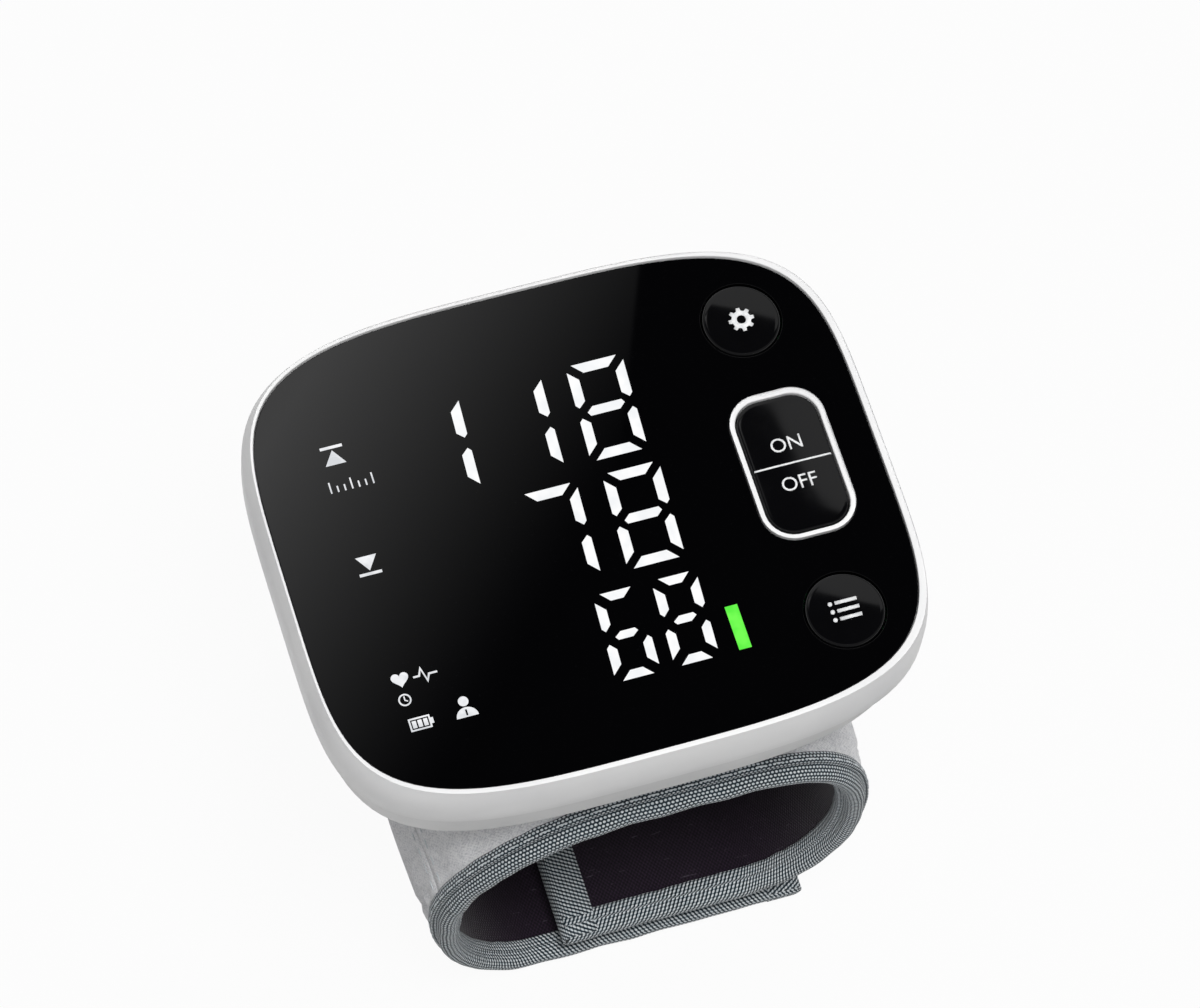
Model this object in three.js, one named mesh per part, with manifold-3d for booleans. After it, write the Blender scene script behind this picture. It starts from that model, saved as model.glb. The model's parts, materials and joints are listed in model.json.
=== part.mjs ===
// Wrist blood pressure monitor: a readout body on a closed wrist cuff.
// Millimetres, +Z up. X runs along the readout, Y to the top of the face, and the cuff stands on Z = 0.

import * as THREE from "three";
import { mergeVertices } from "three/addons/utils/BufferGeometryUtils.js";
import Module from "manifold-3d";

const wasm = await Module();
wasm.setup();

// Fits
const CLEARANCE = 0.3;
const LAYER_GAP = 0.2;
const KEY_GAP = 0.2;
const PANEL_FIT = 0.12;

// Face
const PANEL_HALF_WIDTH = 40;
const PANEL_HALF_HEIGHT = 33.8;
const PANEL_THICKNESS = 1.6;
const SIDE_EXPONENT = 3.65;
const END_EXPONENT = 4.69;
const OUTLINE_POINTS = 44;
const KEY_SIDES = 32;
const ROUND_SIDES = 20;
const SMALL_SIDES = 12;

// Bezel and rear case
const RIM_WIDTH = 1.5;
const LIP_FLAT = 0.7;
const LIP_RISE = 0.35;
const LIP_STEPS = 3;
const LEDGE_WIDTH = 1.6;
const LEDGE_THICKNESS = 1.4;
const BEZEL_DEPTH = 7.4;
const WALL = 1.6;
const SEAM_STEP = 0.15;
const SKIRT_DROP = 3.4;
const REAR_TAPER = 0.2;
const REAR_ROUND_HEIGHT = 10;
const REAR_ROUND_INSET = 11;
const REAR_STEPS = 6;
const BAY_HEADROOM = 0.5;

// Keys and their switches
const KEY_INSET = 11.5;
const KEY_ROW_INSET = 12;
const ROUND_KEY_RADIUS = 5.47;
const START_HALF_WIDTH = 5.75;
const START_HALF_HEIGHT = 9.9;
const START_CORNER = 3.7;
const CORNER_STEPS = 3;
const RING_WIDTH = 0.75;
const RING_RISE = 0.1;
const KEY_RISE = 0.25;
const KEY_FLANGE_WIDTH = 0.5;
const KEY_FLANGE_THICKNESS = 0.8;
const KEY_TRAVEL = 0.6;
const SWITCH_SIZE = 6;
const SWITCH_HEIGHT = 2.5;
const PLUNGER_RADIUS = 1.6;
const PLUNGER_RISE = 1.5;
const PLUNGER_INSERT = 0.5;

// Board and readout
const BOARD_INSET = 5.4;
const BOARD_GAP = 0.9;
const BOARD_THICKNESS = 1.2;
const CHIP_SIZE = 10;
const CHIP_HEIGHT = 1.4;
const CHIP_GAP = 3.1;
const READOUT_LEFT = -14.6;
const READOUT_RIGHT = 17.4;
const READOUT_BOTTOM_MARGIN = 0.3;
const READOUT_TOP_MARGIN = 2.3;
const READOUT_WALL = 1.2;
const READOUT_ROWS = 3;
const DIFFUSER_THICKNESS = 0.6;

// Case screws
const SCREW_BAY_GAP = 0.4;
const SCREW_RIGHT_X = 19;
const SCREW_INSET = 5.6;
const SCREW_RADIUS = 1;
const SCREW_HEAD_RADIUS = 2;
const SCREW_HEAD_HEIGHT = 1.6;
const SCREW_SLOT = 0.45;
const SCREW_SEAT_DEPTH = 13;
const BOSS_WALL = 0.9;
const BOSS_PARTING = 9.2;

// Power: two AAA cells side by side along Y
const CELL_RADIUS = 5.25;
const CELL_LENGTH = 43.3;
const CELL_NUB_RADIUS = 1.9;
const CELL_NUB_LENGTH = 1.2;
const CELL_SIDE_CLEARANCE = 0.9;
const CONTACT_THICKNESS = 0.4;
const CONTACT_HALF_SIZE = 3.4;
const SPRING_HEIGHT = 1.6;
const SPRING_BASE_RADIUS = 3;
const SPRING_TIP_RADIUS = 1.4;
const BAY_WALL = 1.2;
const DOOR_HALF_WIDTH = 22.8;
const DOOR_REACH = 13.5;
const DOOR_TOP_DEPTH = 9.4;
const GRIP_RADIUS = 0.5;
const GRIP_HALF_LENGTH = 7;
const GRIP_COUNT = 3;
const GRIP_PITCH = 2.2;

// Pump, along X
const PUMP_Y = 15;
const MOTOR_RADIUS = 5.4;
const MOTOR_LENGTH = 17;
const PUMP_OUTLET_REACH = 4.8;
const SHAFT_RADIUS = 0.75;
const SHAFT_DEPTH = 6;
const CRANK_RADIUS = 2;
const CRANK_OFFSET = 0.7;
const CRANK_WIDTH = 2;
const PUMP_LENGTH = 7.4;
const PUMP_WALL = 1.6;
const DIAPHRAGM_THICKNESS = 0.8;
const HEAD_LENGTH = 3.6;

// Release valve, along X
const VALVE_Y = -15;
const VALVE_INLET_REACH = 9;
const COIL_RADIUS = 5;
const COIL_LENGTH = 12;
const VALVE_STEM_RADIUS = 1.5;
const VALVE_STEM_LENGTH = 9;
const VALVE_STEM_PROUD = 1.6;
const VALVE_TRAVEL = 1;
const SEAT_RADIUS = 3.6;
const SEAT_LENGTH = 5.2;
const SEAT_WALL = 1.2;

// Air line
const NIPPLE_RADIUS = 0.8;
const NIPPLE_LENGTH = 2.6;
const HOSE_OUTER_RADIUS = 1.9;
const HOSE_WALL = 0.8;
const HOSE_STEP = 2.3;
const HOSE_SEGMENTS = 4;
const TEE_INSET = 8.5;
const TEE_HALF_SIZE = 2.3;
const SENSOR_HALF_SIZE = 4;
const SENSOR_HEIGHT = 3;
const NOZZLE_X = 13.5;
const NOZZLE_RADIUS = 1.7;
const NOZZLE_BORE = 0.8;
const NOZZLE_FLANGE_RADIUS = 3.2;
const NOZZLE_FLANGE_HEIGHT = 1;
const BUZZER_X = 18;
const BUZZER_RADIUS = 4.5;
const BUZZER_HEIGHT = 4;

// Cuff
const CUFF_HEIGHT = 51;
const CUFF_HALF_WIDTH = 31.5;
const CUFF_HALF_LENGTH = 34;
const CUFF_CENTRE_X = 2.4;
const CUFF_MIDDLE = 26;
const TOP_FLAT_LEFT = 3;
const TOP_FLAT_RIGHT = 10;
const BOTTOM_FLAT = 15;
const LEFT_FULLNESS = 0.54;
const RIGHT_FULLNESS = 0.66;
const LOWER_FULLNESS = 0.56;
const OUTER_FABRIC = 0.8;
const STIFFENER = 0.7;
const BLADDER = 0.9;
const LINING = 0.6;
const STIFFENER_MARGIN = 3.2;
const STIFFENER_END = 52;
const BLADDER_MARGIN = 1.6;
const BLADDER_END = 4;
const BINDING_THICKNESS = 0.6;
const BINDING_WIDTH = 6;
const TAIL_THICKNESS = 2.4;
const TAIL_END = 24;
const WRAP_END = -12;
const HOOK_LENGTH = 28;
const HOOK_MARGIN = 2;
const STATION_STEP = 3;
const LEAST_STEP = 0.1;
const SAME_POINT = 1e-3;

// Mounting land on the saddle, with the screws that hold the cuff
const LAND_LEFT = -10;
const LAND_RIGHT = 18;
const LAND_HALF_LENGTH = 11;
const CUFF_SCREW_LEFT_X = -5;
const CUFF_SCREW_RIGHT_X = 7.5;
const CUFF_SCREW_Y = 6.2;
const CUFF_SCREW_RADIUS = 1;
const CUFF_SCREW_HEAD_RADIUS = 2;
const CUFF_SCREW_HEAD_HEIGHT = 1.1;

// Places across the face
const KEY_X = PANEL_HALF_WIDTH - KEY_INSET;
const KEY_ROW_Y = PANEL_HALF_HEIGHT - KEY_ROW_INSET;
const TEE_X = PANEL_HALF_WIDTH - TEE_INSET;
const SCREW_Y = PANEL_HALF_HEIGHT - SCREW_INSET;
const BOSS_RADIUS = SCREW_RADIUS + CLEARANCE + BOSS_WALL;
const COLUMN_RADIUS = SCREW_HEAD_RADIUS + CLEARANCE + BOSS_WALL;
const BOARD_HALF_WIDTH = PANEL_HALF_WIDTH - BOARD_INSET;
const BOARD_HALF_HEIGHT = SCREW_Y - BOSS_RADIUS - BOARD_GAP;
const READOUT_BOTTOM = READOUT_BOTTOM_MARGIN - BOARD_HALF_HEIGHT;
const READOUT_TOP = BOARD_HALF_HEIGHT - READOUT_TOP_MARGIN;

// Levels below the face
const LEDGE_BOTTOM = PANEL_THICKNESS + LEDGE_THICKNESS;
const FLANGE_TOP = PANEL_THICKNESS + CLEARANCE;
const FLANGE_BOTTOM = FLANGE_TOP + KEY_FLANGE_THICKNESS;
const PLUNGER_TOP = FLANGE_BOTTOM + CLEARANCE;
const SWITCH_TOP = PLUNGER_TOP + PLUNGER_RISE;
const BOARD_TOP = SWITCH_TOP + SWITCH_HEIGHT;
const BOARD_BOTTOM = BOARD_TOP + BOARD_THICKNESS;
const BAY_RADIUS = Math.max(CELL_RADIUS, MOTOR_RADIUS, COIL_RADIUS);
const FLOOR_DEPTH = BOARD_BOTTOM + BAY_HEADROOM + 2 * BAY_RADIUS + CLEARANCE;
const CASE_DEPTH = FLOOR_DEPTH + WALL;
const REAR_DEPTH = CASE_DEPTH + SKIRT_DROP;
const CELL_DEPTH = FLOOR_DEPTH - CLEARANCE - CELL_RADIUS;
const PUMP_DEPTH = FLOOR_DEPTH - CLEARANCE - MOTOR_RADIUS;
const VALVE_DEPTH = FLOOR_DEPTH - CLEARANCE - COIL_RADIUS;
const SENSOR_BOTTOM = BOARD_BOTTOM + SENSOR_HEIGHT;
const TEE_DEPTH = SENSOR_BOTTOM + 2 * NIPPLE_LENGTH - CLEARANCE;
const BAY_HALF_LENGTH = (CELL_LENGTH + CELL_NUB_LENGTH + SPRING_HEIGHT) / 2 + CLEARANCE;

// Levels above the floor
const BINDING_PROUD = BINDING_THICKNESS + LAYER_GAP;
const TAIL_LEVEL = BINDING_PROUD;
const WRAP_LEVEL = TAIL_LEVEL + TAIL_THICKNESS + 2 * BINDING_PROUD + CLEARANCE;
const STIFFENER_INSET = OUTER_FABRIC + LAYER_GAP;
const BLADDER_INSET = STIFFENER_INSET + STIFFENER + LAYER_GAP;
const LINING_INSET = BLADDER_INSET + BLADDER + LAYER_GAP;
const WRAP_THICKNESS = LINING_INSET + LINING;
const FACE_HEIGHT = CUFF_HEIGHT + CLEARANCE + CASE_DEPTH;
const BEYOND = PANEL_HALF_WIDTH + PANEL_HALF_HEIGHT;

// Materials
const plastic = (color, roughness = 0.5) => new THREE.MeshStandardMaterial({ color, roughness });
const metal = (color) => new THREE.MeshStandardMaterial({ color, roughness: 0.35, metalness: 1 });
const WHITE_PLASTIC = plastic(0xd9dadd, 0.42);
const BLACK_GLOSS = plastic(0x070708, 0.08);
const RING_WHITE = plastic(0xf2f3f4, 0.4);
const SWITCH_BLACK = plastic(0x1c1c1e);
const BOARD_GREEN = plastic(0x1d5a37);
const DIFFUSER_WHITE = plastic(0xf6f7f2, 0.6);
const SILICONE = plastic(0xd6dde2, 0.6);
const BLADDER_GREY = plastic(0x8b8f96, 0.7);
const STEEL = metal(0xb9bcc0);
const BRASS = metal(0xb98d46);
const CELL_WRAP = plastic(0x2f5f97, 0.35);
const FABRIC_GREY = plastic(0xc6c8cd, 0.95);
const LINING_DARK = plastic(0x3a3b48, 0.95);
const BINDING_BLUE = plastic(0x7d8596, 0.95);

// Solid helpers

function solidOf(geometry) {
  const bare = new THREE.BufferGeometry();
  bare.setAttribute("position", geometry.attributes.position.clone());
  bare.setIndex(geometry.index ? geometry.index.clone() : null);
  const merged = mergeVertices(bare, SAME_POINT / 10);
  const vertProperties = new Float32Array(merged.attributes.position.array);
  const triVerts = new Uint32Array(merged.index.array);
  return new wasm.Manifold(new wasm.Mesh({ numProp: 3, vertProperties, triVerts }));
}

function geometryOf(solid) {
  const mesh = solid.getMesh();
  const geometry = new THREE.BufferGeometry();
  geometry.setAttribute("position", new THREE.BufferAttribute(new Float32Array(mesh.vertProperties), 3));
  geometry.setIndex(new THREE.BufferAttribute(new Uint32Array(mesh.triVerts), 1));
  return geometry;
}

function cut(base, ...tools) {
  return geometryOf(tools.reduce((solid, tool) => solid.subtract(solidOf(tool)), solidOf(base)));
}

function join(first, ...others) {
  return geometryOf(others.reduce((solid, other) => solid.add(solidOf(other)), solidOf(first)));
}

function common(first, second) {
  return geometryOf(solidOf(first).intersect(solidOf(second)));
}

function sorted(first, second) {
  return [Math.min(first, second), Math.max(first, second)];
}

function box(x0, x1, y0, y1, z0, z1) {
  const geometry = new THREE.BoxGeometry(x1 - x0, y1 - y0, z1 - z0);
  return geometry.translate((x0 + x1) / 2, (y0 + y1) / 2, (z0 + z1) / 2);
}

// A round bar, or a cone, from one point to another
function bar(from, to, radius, sides = ROUND_SIDES, endRadius = radius) {
  const start = new THREE.Vector3(...from);
  const along = new THREE.Vector3(...to).sub(start);
  const length = along.length();
  const geometry = new THREE.CylinderGeometry(endRadius, radius, length, sides).translate(0, length / 2, 0);
  const turn = new THREE.Quaternion().setFromUnitVectors(THREE.Object3D.DEFAULT_UP, along.normalize());
  geometry.applyQuaternion(turn);
  return geometry.translate(start.x, start.y, start.z);
}

function post(x, y, z0, z1, radius, sides) {
  return bar([x, y, z0], [x, y, z1], radius, sides);
}

// A closed solid through a stack of outlines, from the bottom up
function loft(rings) {
  const count = rings[0].outline.length;
  const last = rings.length - 1;
  const positions = [];
  const triangles = [];
  for (const { outline, z } of rings) {
    for (const point of outline) positions.push(point.x, point.y, z);
  }
  const bottomCentre = positions.length / 3;
  positions.push(0, 0, rings[0].z, 0, 0, rings[last].z);
  for (const corner of [bottomCentre, bottomCentre + 1]) {
    const ring = corner === bottomCentre ? rings[0].outline : rings[last].outline;
    positions[3 * corner] = ring.reduce((sum, point) => sum + point.x, 0) / count;
    positions[3 * corner + 1] = ring.reduce((sum, point) => sum + point.y, 0) / count;
  }
  for (let i = 0; i < count; i++) {
    const next = (i + 1) % count;
    triangles.push(bottomCentre, next, i, bottomCentre + 1, last * count + i, last * count + next);
    for (let k = 0; k < last; k++) {
      const low = k * count;
      const high = low + count;
      triangles.push(low + i, low + next, high + next, low + i, high + next, high + i);
    }
  }
  const geometry = new THREE.BufferGeometry();
  geometry.setAttribute("position", new THREE.Float32BufferAttribute(positions, 3));
  geometry.setIndex(triangles);
  return geometry;
}

function prism(outline, z0, z1) {
  return loft([{ outline, z: z0 }, { outline, z: z1 }]);
}

// A hose along a smooth route: outer skin less its bore
function hose(points) {
  const corners = points.map((point) => new THREE.Vector3(...point));
  const route = new THREE.CatmullRomCurve3(corners, false, "centripetal");
  const section = new THREE.Shape().absarc(0, 0, HOSE_OUTER_RADIUS, 0, 2 * Math.PI);
  section.holes.push(new THREE.Path().absarc(0, 0, HOSE_OUTER_RADIUS - HOSE_WALL, 0, 2 * Math.PI, true));
  const steps = Math.max(2, Math.round(route.getLength() / HOSE_STEP));
  return new THREE.ExtrudeGeometry(section, { steps, curveSegments: HOSE_SEGMENTS, extrudePath: route });
}

// Outline of the body, grown or shrunk by an offset

function caseOutline(offset) {
  const points = [];
  for (let i = 0; i < OUTLINE_POINTS; i++) {
    const angle = (2 * Math.PI * i) / OUTLINE_POINTS;
    const across = Math.cos(angle);
    const up = Math.sin(angle);
    const x = (PANEL_HALF_WIDTH + offset) * Math.sign(across) * Math.abs(across) ** (2 / SIDE_EXPONENT);
    const y = (PANEL_HALF_HEIGHT + offset) * Math.sign(up) * Math.abs(up) ** (2 / END_EXPONENT);
    points.push(new THREE.Vector2(x, y));
  }
  return points;
}

function caseHalfWidth(offset, y) {
  const share = (Math.abs(y) / (PANEL_HALF_HEIGHT + offset)) ** END_EXPONENT;
  return (PANEL_HALF_WIDTH + offset) * (1 - share) ** (1 / SIDE_EXPONENT);
}

// Offset of the rear case at a depth: a slight taper, then a rounded underside
function rearOffset(depth) {
  const taper = REAR_TAPER * Math.max(0, depth - BEZEL_DEPTH);
  const turn = Math.max(0, depth - (REAR_DEPTH - REAR_ROUND_HEIGHT)) / REAR_ROUND_HEIGHT;
  return RIM_WIDTH - SEAM_STEP - taper - REAR_ROUND_INSET * (1 - Math.sqrt(Math.max(0, 1 - turn * turn)));
}

function rearLoft(topDepth, bottomDepth, inset) {
  const rings = [];
  for (let i = REAR_STEPS; i >= 0; i--) {
    const share = Math.sin(((i / REAR_STEPS) * Math.PI) / 2);
    const depth = topDepth + (bottomDepth - topDepth) * share;
    rings.push({ outline: caseOutline(rearOffset(depth) - inset), z: -depth });
  }
  return loft(rings);
}

function roundedOutline(halfWidth, halfHeight, radius) {
  const shape = new THREE.Shape();
  shape.absarc(halfWidth - radius, halfHeight - radius, radius, 0, Math.PI / 2);
  shape.absarc(radius - halfWidth, halfHeight - radius, radius, Math.PI / 2, Math.PI);
  shape.absarc(radius - halfWidth, radius - halfHeight, radius, Math.PI, 1.5 * Math.PI);
  shape.absarc(halfWidth - radius, radius - halfHeight, radius, 1.5 * Math.PI, 2 * Math.PI);
  const points = shape.getPoints(CORNER_STEPS);
  return points.filter((point, i) => point.distanceTo(points[(i + 1) % points.length]) > SAME_POINT);
}

function startOutline(offset) {
  return roundedOutline(START_HALF_WIDTH + offset, START_HALF_HEIGHT + offset, START_CORNER + offset)
    .map((point) => point.clone().add(new THREE.Vector2(KEY_X, 0)));
}

// Strap lines: the outer face of a strap in the XZ plane, measured along its length

class StrapLine {
  constructor(curves, inwardTurn) {
    this.path = new THREE.CurvePath();
    for (const curve of curves) this.path.add(curve);
    this.length = this.path.getLength();
    this.inwardTurn = inwardTurn;
  }

  point(distance, inset) {
    const share = Math.min(1, Math.max(0, distance / this.length));
    const tangent = this.path.getTangent(share);
    const inward = new THREE.Vector2(tangent.y, -tangent.x).multiplyScalar(this.inwardTurn * inset);
    return this.path.getPoint(share).add(inward);
  }

  stations(from, to) {
    const list = [from];
    for (let i = Math.ceil(from / STATION_STEP); i * STATION_STEP < to; i++) {
      const distance = i * STATION_STEP;
      if (distance - from > LEAST_STEP && to - distance > LEAST_STEP) list.push(distance);
    }
    return [...list, to];
  }
}

const place = (x, z) => new THREE.Vector2(CUFF_CENTRE_X + x, z);

// A rounded corner that leaves upright and arrives level, or the other way round
function corner(from, to, fullness, uprightFirst) {
  const upright = uprightFirst ? from : to;
  const level = uprightFirst ? to : from;
  const uprightHandle = new THREE.Vector2(upright.x, upright.y + (level.y - upright.y) * fullness);
  const levelHandle = new THREE.Vector2(level.x + (upright.x - level.x) * fullness, level.y);
  const handles = uprightFirst ? [uprightHandle, levelHandle] : [levelHandle, uprightHandle];
  return new THREE.CubicBezierCurve(from, ...handles, to);
}

const FABRIC_SIDE = CUFF_HALF_WIDTH - BINDING_PROUD;
const FABRIC_TOP = CUFF_HEIGHT - BINDING_PROUD;
const leftMiddle = place(-FABRIC_SIDE, CUFF_MIDDLE);
const rightMiddle = place(FABRIC_SIDE, CUFF_MIDDLE);
const overWrist = [
  corner(leftMiddle, place(-TOP_FLAT_LEFT, FABRIC_TOP), LEFT_FULLNESS, true),
  new THREE.LineCurve(place(-TOP_FLAT_LEFT, FABRIC_TOP), place(TOP_FLAT_RIGHT, FABRIC_TOP)),
  corner(place(TOP_FLAT_RIGHT, FABRIC_TOP), rightMiddle, RIGHT_FULLNESS, false),
];
const underWrist = [
  corner(rightMiddle, place(BOTTOM_FLAT, WRAP_LEVEL), LOWER_FULLNESS, true),
  new THREE.LineCurve(place(BOTTOM_FLAT, WRAP_LEVEL), place(WRAP_END, WRAP_LEVEL)),
];
const tailStart = place(-FABRIC_SIDE, CUFF_MIDDLE - CLEARANCE);
const tailCurves = [
  corner(tailStart, place(-BOTTOM_FLAT, TAIL_LEVEL), LOWER_FULLNESS, true),
  new THREE.LineCurve(place(-BOTTOM_FLAT, TAIL_LEVEL), place(TAIL_END, TAIL_LEVEL)),
];
const topLine = new StrapLine(overWrist, 1);
const wrapLine = new StrapLine([...overWrist, ...underWrist], 1);
const tailLine = new StrapLine(tailCurves, -1);

function extrudeAlongY(outline, y0, y1) {
  const section = new THREE.Shape(outline);
  const geometry = new THREE.ExtrudeGeometry(section, { depth: y1 - y0, bevelEnabled: false });
  return geometry.rotateX(Math.PI / 2).translate(0, y1, 0);
}

// A layer of a strap between two insets
function band(line, from, to, outerInset, innerInset, y0, y1) {
  const stations = line.stations(from, to);
  const outer = stations.map((distance) => line.point(distance, outerInset));
  const inner = stations.map((distance) => line.point(distance, innerInset));
  return extrudeAlongY([...outer, ...inner.reverse()], y0, y1);
}

// The space under the top of the cuff, in the frame of the body
function cuffSpace(inset, y0, y1) {
  const outline = topLine.stations(0, topLine.length).map((distance) => topLine.point(distance, inset));
  return extrudeAlongY(outline, y0, y1).translate(0, 0, -FACE_HEIGHT);
}

// Body shells

const monitor = new THREE.Group();
monitor.position.z = FACE_HEIGHT;
const cuff = new THREE.Group();

function addPart(group, name, geometry, material) {
  const mesh = new THREE.Mesh(geometry, material);
  mesh.name = name;
  group.add(mesh);
  return mesh;
}

const CELL_SPAN_X = caseHalfWidth(rearOffset(CELL_DEPTH) - WALL, BAY_HALF_LENGTH) - CELL_SIDE_CLEARANCE;
const CELL_PLACES = [CELL_RADIUS - CELL_SPAN_X, 3 * CELL_RADIUS + CLEARANCE - CELL_SPAN_X];
const BAY_INNER_X = CELL_PLACES[1] + CELL_RADIUS + CLEARANCE;
const BAY_END_Y = BAY_HALF_LENGTH + CONTACT_THICKNESS + CLEARANCE;
const DOOR_EDGE_X = DOOR_REACH - PANEL_HALF_WIDTH;
const SCREW_LEFT_X = BAY_INNER_X + BAY_WALL + SCREW_BAY_GAP + COLUMN_RADIUS;
const SCREW_PLACES = [
  [SCREW_LEFT_X, SCREW_Y],
  [SCREW_RIGHT_X, SCREW_Y],
  [SCREW_LEFT_X, -SCREW_Y],
  [SCREW_RIGHT_X, -SCREW_Y],
];

function frontBezel() {
  const round = RIM_WIDTH - LIP_FLAT;
  const rings = [{ outline: caseOutline(RIM_WIDTH), z: -BEZEL_DEPTH }];
  for (let i = 0; i <= LIP_STEPS; i++) {
    const angle = ((i / LIP_STEPS) * Math.PI) / 2;
    const offset = LIP_FLAT + round * Math.cos(angle);
    rings.push({ outline: caseOutline(offset), z: LIP_RISE - round + round * Math.sin(angle) });
  }
  const outer = loft(rings);
  let bezel = cut(
    outer,
    prism(caseOutline(PANEL_FIT), -PANEL_THICKNESS, LIP_RISE + WALL),
    prism(caseOutline(-LEDGE_WIDTH), -BEZEL_DEPTH, WALL),
    prism(caseOutline(RIM_WIDTH - WALL), -BEZEL_DEPTH - WALL, -LEDGE_BOTTOM),
  );
  for (const [x, y] of SCREW_PLACES) {
    const [low, high] = sorted(y, Math.sign(y) * (PANEL_HALF_HEIGHT + RIM_WIDTH));
    const rib = box(x - BOSS_WALL, x + BOSS_WALL, low, high, -BEZEL_DEPTH, -LEDGE_BOTTOM);
    bezel = join(bezel, common(rib, outer), post(x, y, -BOSS_PARTING, -LEDGE_BOTTOM, BOSS_RADIUS));
    const holeTop = -LEDGE_BOTTOM - BOSS_WALL;
    bezel = cut(bezel, post(x, y, -BOSS_PARTING - WALL, holeTop, SCREW_RADIUS + CLEARANCE / 2, SMALL_SIDES));
  }
  return bezel;
}

function frontPanel() {
  return cut(
    prism(caseOutline(0), -PANEL_THICKNESS, 0),
    post(KEY_X, KEY_ROW_Y, -LEDGE_BOTTOM, WALL, ROUND_KEY_RADIUS, KEY_SIDES),
    post(KEY_X, -KEY_ROW_Y, -LEDGE_BOTTOM, WALL, ROUND_KEY_RADIUS, KEY_SIDES),
    prism(startOutline(RING_WIDTH + PANEL_FIT), -LEDGE_BOTTOM, WALL),
  );
}

const rearOuter = rearLoft(BEZEL_DEPTH + CLEARANCE, REAR_DEPTH, 0);
const rearCavity = rearLoft(BEZEL_DEPTH, FLOOR_DEPTH, WALL);
const rearShell = cut(rearOuter, rearCavity);

const CUFF_SCREW_PLACES = [
  [CUFF_SCREW_LEFT_X, CUFF_SCREW_Y],
  [CUFF_SCREW_RIGHT_X, CUFF_SCREW_Y],
  [CUFF_SCREW_LEFT_X, -CUFF_SCREW_Y],
  [CUFF_SCREW_RIGHT_X, -CUFF_SCREW_Y],
];

// Holes that pass from the body into the cuff, in the frame of the body
function cuffHoles() {
  const depth = FLOOR_DEPTH - WALL;
  const end = REAR_DEPTH + WRAP_THICKNESS;
  const screws = CUFF_SCREW_PLACES.map(([x, y]) => (
    post(x, y, -end, -depth, CUFF_SCREW_RADIUS + CLEARANCE, SMALL_SIDES)
  ));
  return [...screws, post(NOZZLE_X, 0, -end, -depth, NOZZLE_RADIUS + CLEARANCE, SMALL_SIDES)];
}

function rearCase() {
  const bayTop = -BOARD_BOTTOM - CLEARANCE;
  const ribs = [box(BAY_INNER_X, BAY_INNER_X + BAY_WALL, -BAY_END_Y, BAY_END_Y, -REAR_DEPTH, bayTop)];
  for (const side of [-1, 1]) {
    const [low, high] = sorted(side * BAY_END_Y, side * (BAY_END_Y + BAY_WALL));
    ribs.push(box(-BEYOND, BAY_INNER_X + BAY_WALL, low, high, -REAR_DEPTH, bayTop));
  }
  for (const [x, y] of SCREW_PLACES) {
    ribs.push(post(x, y, -REAR_DEPTH, -BOSS_PARTING - CLEARANCE, COLUMN_RADIUS, SMALL_SIDES));
  }
  let shell = rearShell;
  for (const rib of ribs) shell = join(shell, common(rib, rearOuter));
  shell = cut(shell, cuffSpace(-BINDING_PROUD - CLEARANCE, -BEYOND, BEYOND));
  const land = box(LAND_LEFT, LAND_RIGHT, -LAND_HALF_LENGTH, LAND_HALF_LENGTH, -REAR_DEPTH, -FLOOR_DEPTH);
  shell = join(shell, cut(land, cuffSpace(-CLEARANCE, -BEYOND, BEYOND)));
  for (const [x, y] of SCREW_PLACES) {
    const shank = post(x, y, -REAR_DEPTH, -BOSS_PARTING + WALL, SCREW_RADIUS + CLEARANCE, SMALL_SIDES);
    const wellRadius = SCREW_HEAD_RADIUS + CLEARANCE;
    shell = cut(shell, shank, post(x, y, -REAR_DEPTH - WALL, -SCREW_SEAT_DEPTH, wellRadius, SMALL_SIDES));
  }
  const doorway = box(
    -BEYOND, DOOR_EDGE_X + CLEARANCE, -DOOR_HALF_WIDTH - CLEARANCE, DOOR_HALF_WIDTH + CLEARANCE,
    -BEYOND, -DOOR_TOP_DEPTH + CLEARANCE,
  );
  return cut(shell, doorway, ...cuffHoles());
}

function batteryDoor() {
  const reach = box(-BEYOND, DOOR_EDGE_X, -DOOR_HALF_WIDTH, DOOR_HALF_WIDTH, -BEYOND, -DOOR_TOP_DEPTH);
  let door = common(rearShell, reach);
  for (let i = 0; i < GRIP_COUNT; i++) {
    const depth = CELL_DEPTH + (i - (GRIP_COUNT - 1) / 2) * GRIP_PITCH;
    const x = -caseHalfWidth(rearOffset(depth), GRIP_HALF_LENGTH);
    const ends = [[x, -GRIP_HALF_LENGTH, -depth], [x, GRIP_HALF_LENGTH, -depth]];
    door = join(door, bar(...ends, GRIP_RADIUS, SMALL_SIDES));
  }
  return door;
}

function caseScrew([x, y]) {
  const seat = -SCREW_SEAT_DEPTH - CLEARANCE;
  const tip = -LEDGE_BOTTOM - BOSS_WALL - CLEARANCE - SCREW_RADIUS;
  const head = post(x, y, seat - SCREW_HEAD_HEIGHT, seat, SCREW_HEAD_RADIUS, SMALL_SIDES);
  const shank = post(x, y, seat - SCREW_HEAD_HEIGHT / 2, tip, SCREW_RADIUS - CLEARANCE / 2, SMALL_SIDES);
  const slot = box(x - SCREW_SLOT / 2, x + SCREW_SLOT / 2, y - SCREW_HEAD_RADIUS, y + SCREW_HEAD_RADIUS,
    seat - SCREW_HEAD_HEIGHT - WALL, seat - SCREW_HEAD_HEIGHT / 2);
  return join(cut(head, slot), shank);
}

function addShells() {
  addPart(monitor, "front_bezel", frontBezel(), WHITE_PLASTIC);
  addPart(monitor, "front_panel", frontPanel(), BLACK_GLOSS);
  addPart(monitor, "rear_case", rearCase(), WHITE_PLASTIC);
  addPart(monitor, "battery_door", batteryDoor(), WHITE_PLASTIC);
  SCREW_PLACES.forEach((spot, i) => addPart(monitor, `case_screw_${i + 1}`, caseScrew(spot), STEEL));
}

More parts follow.
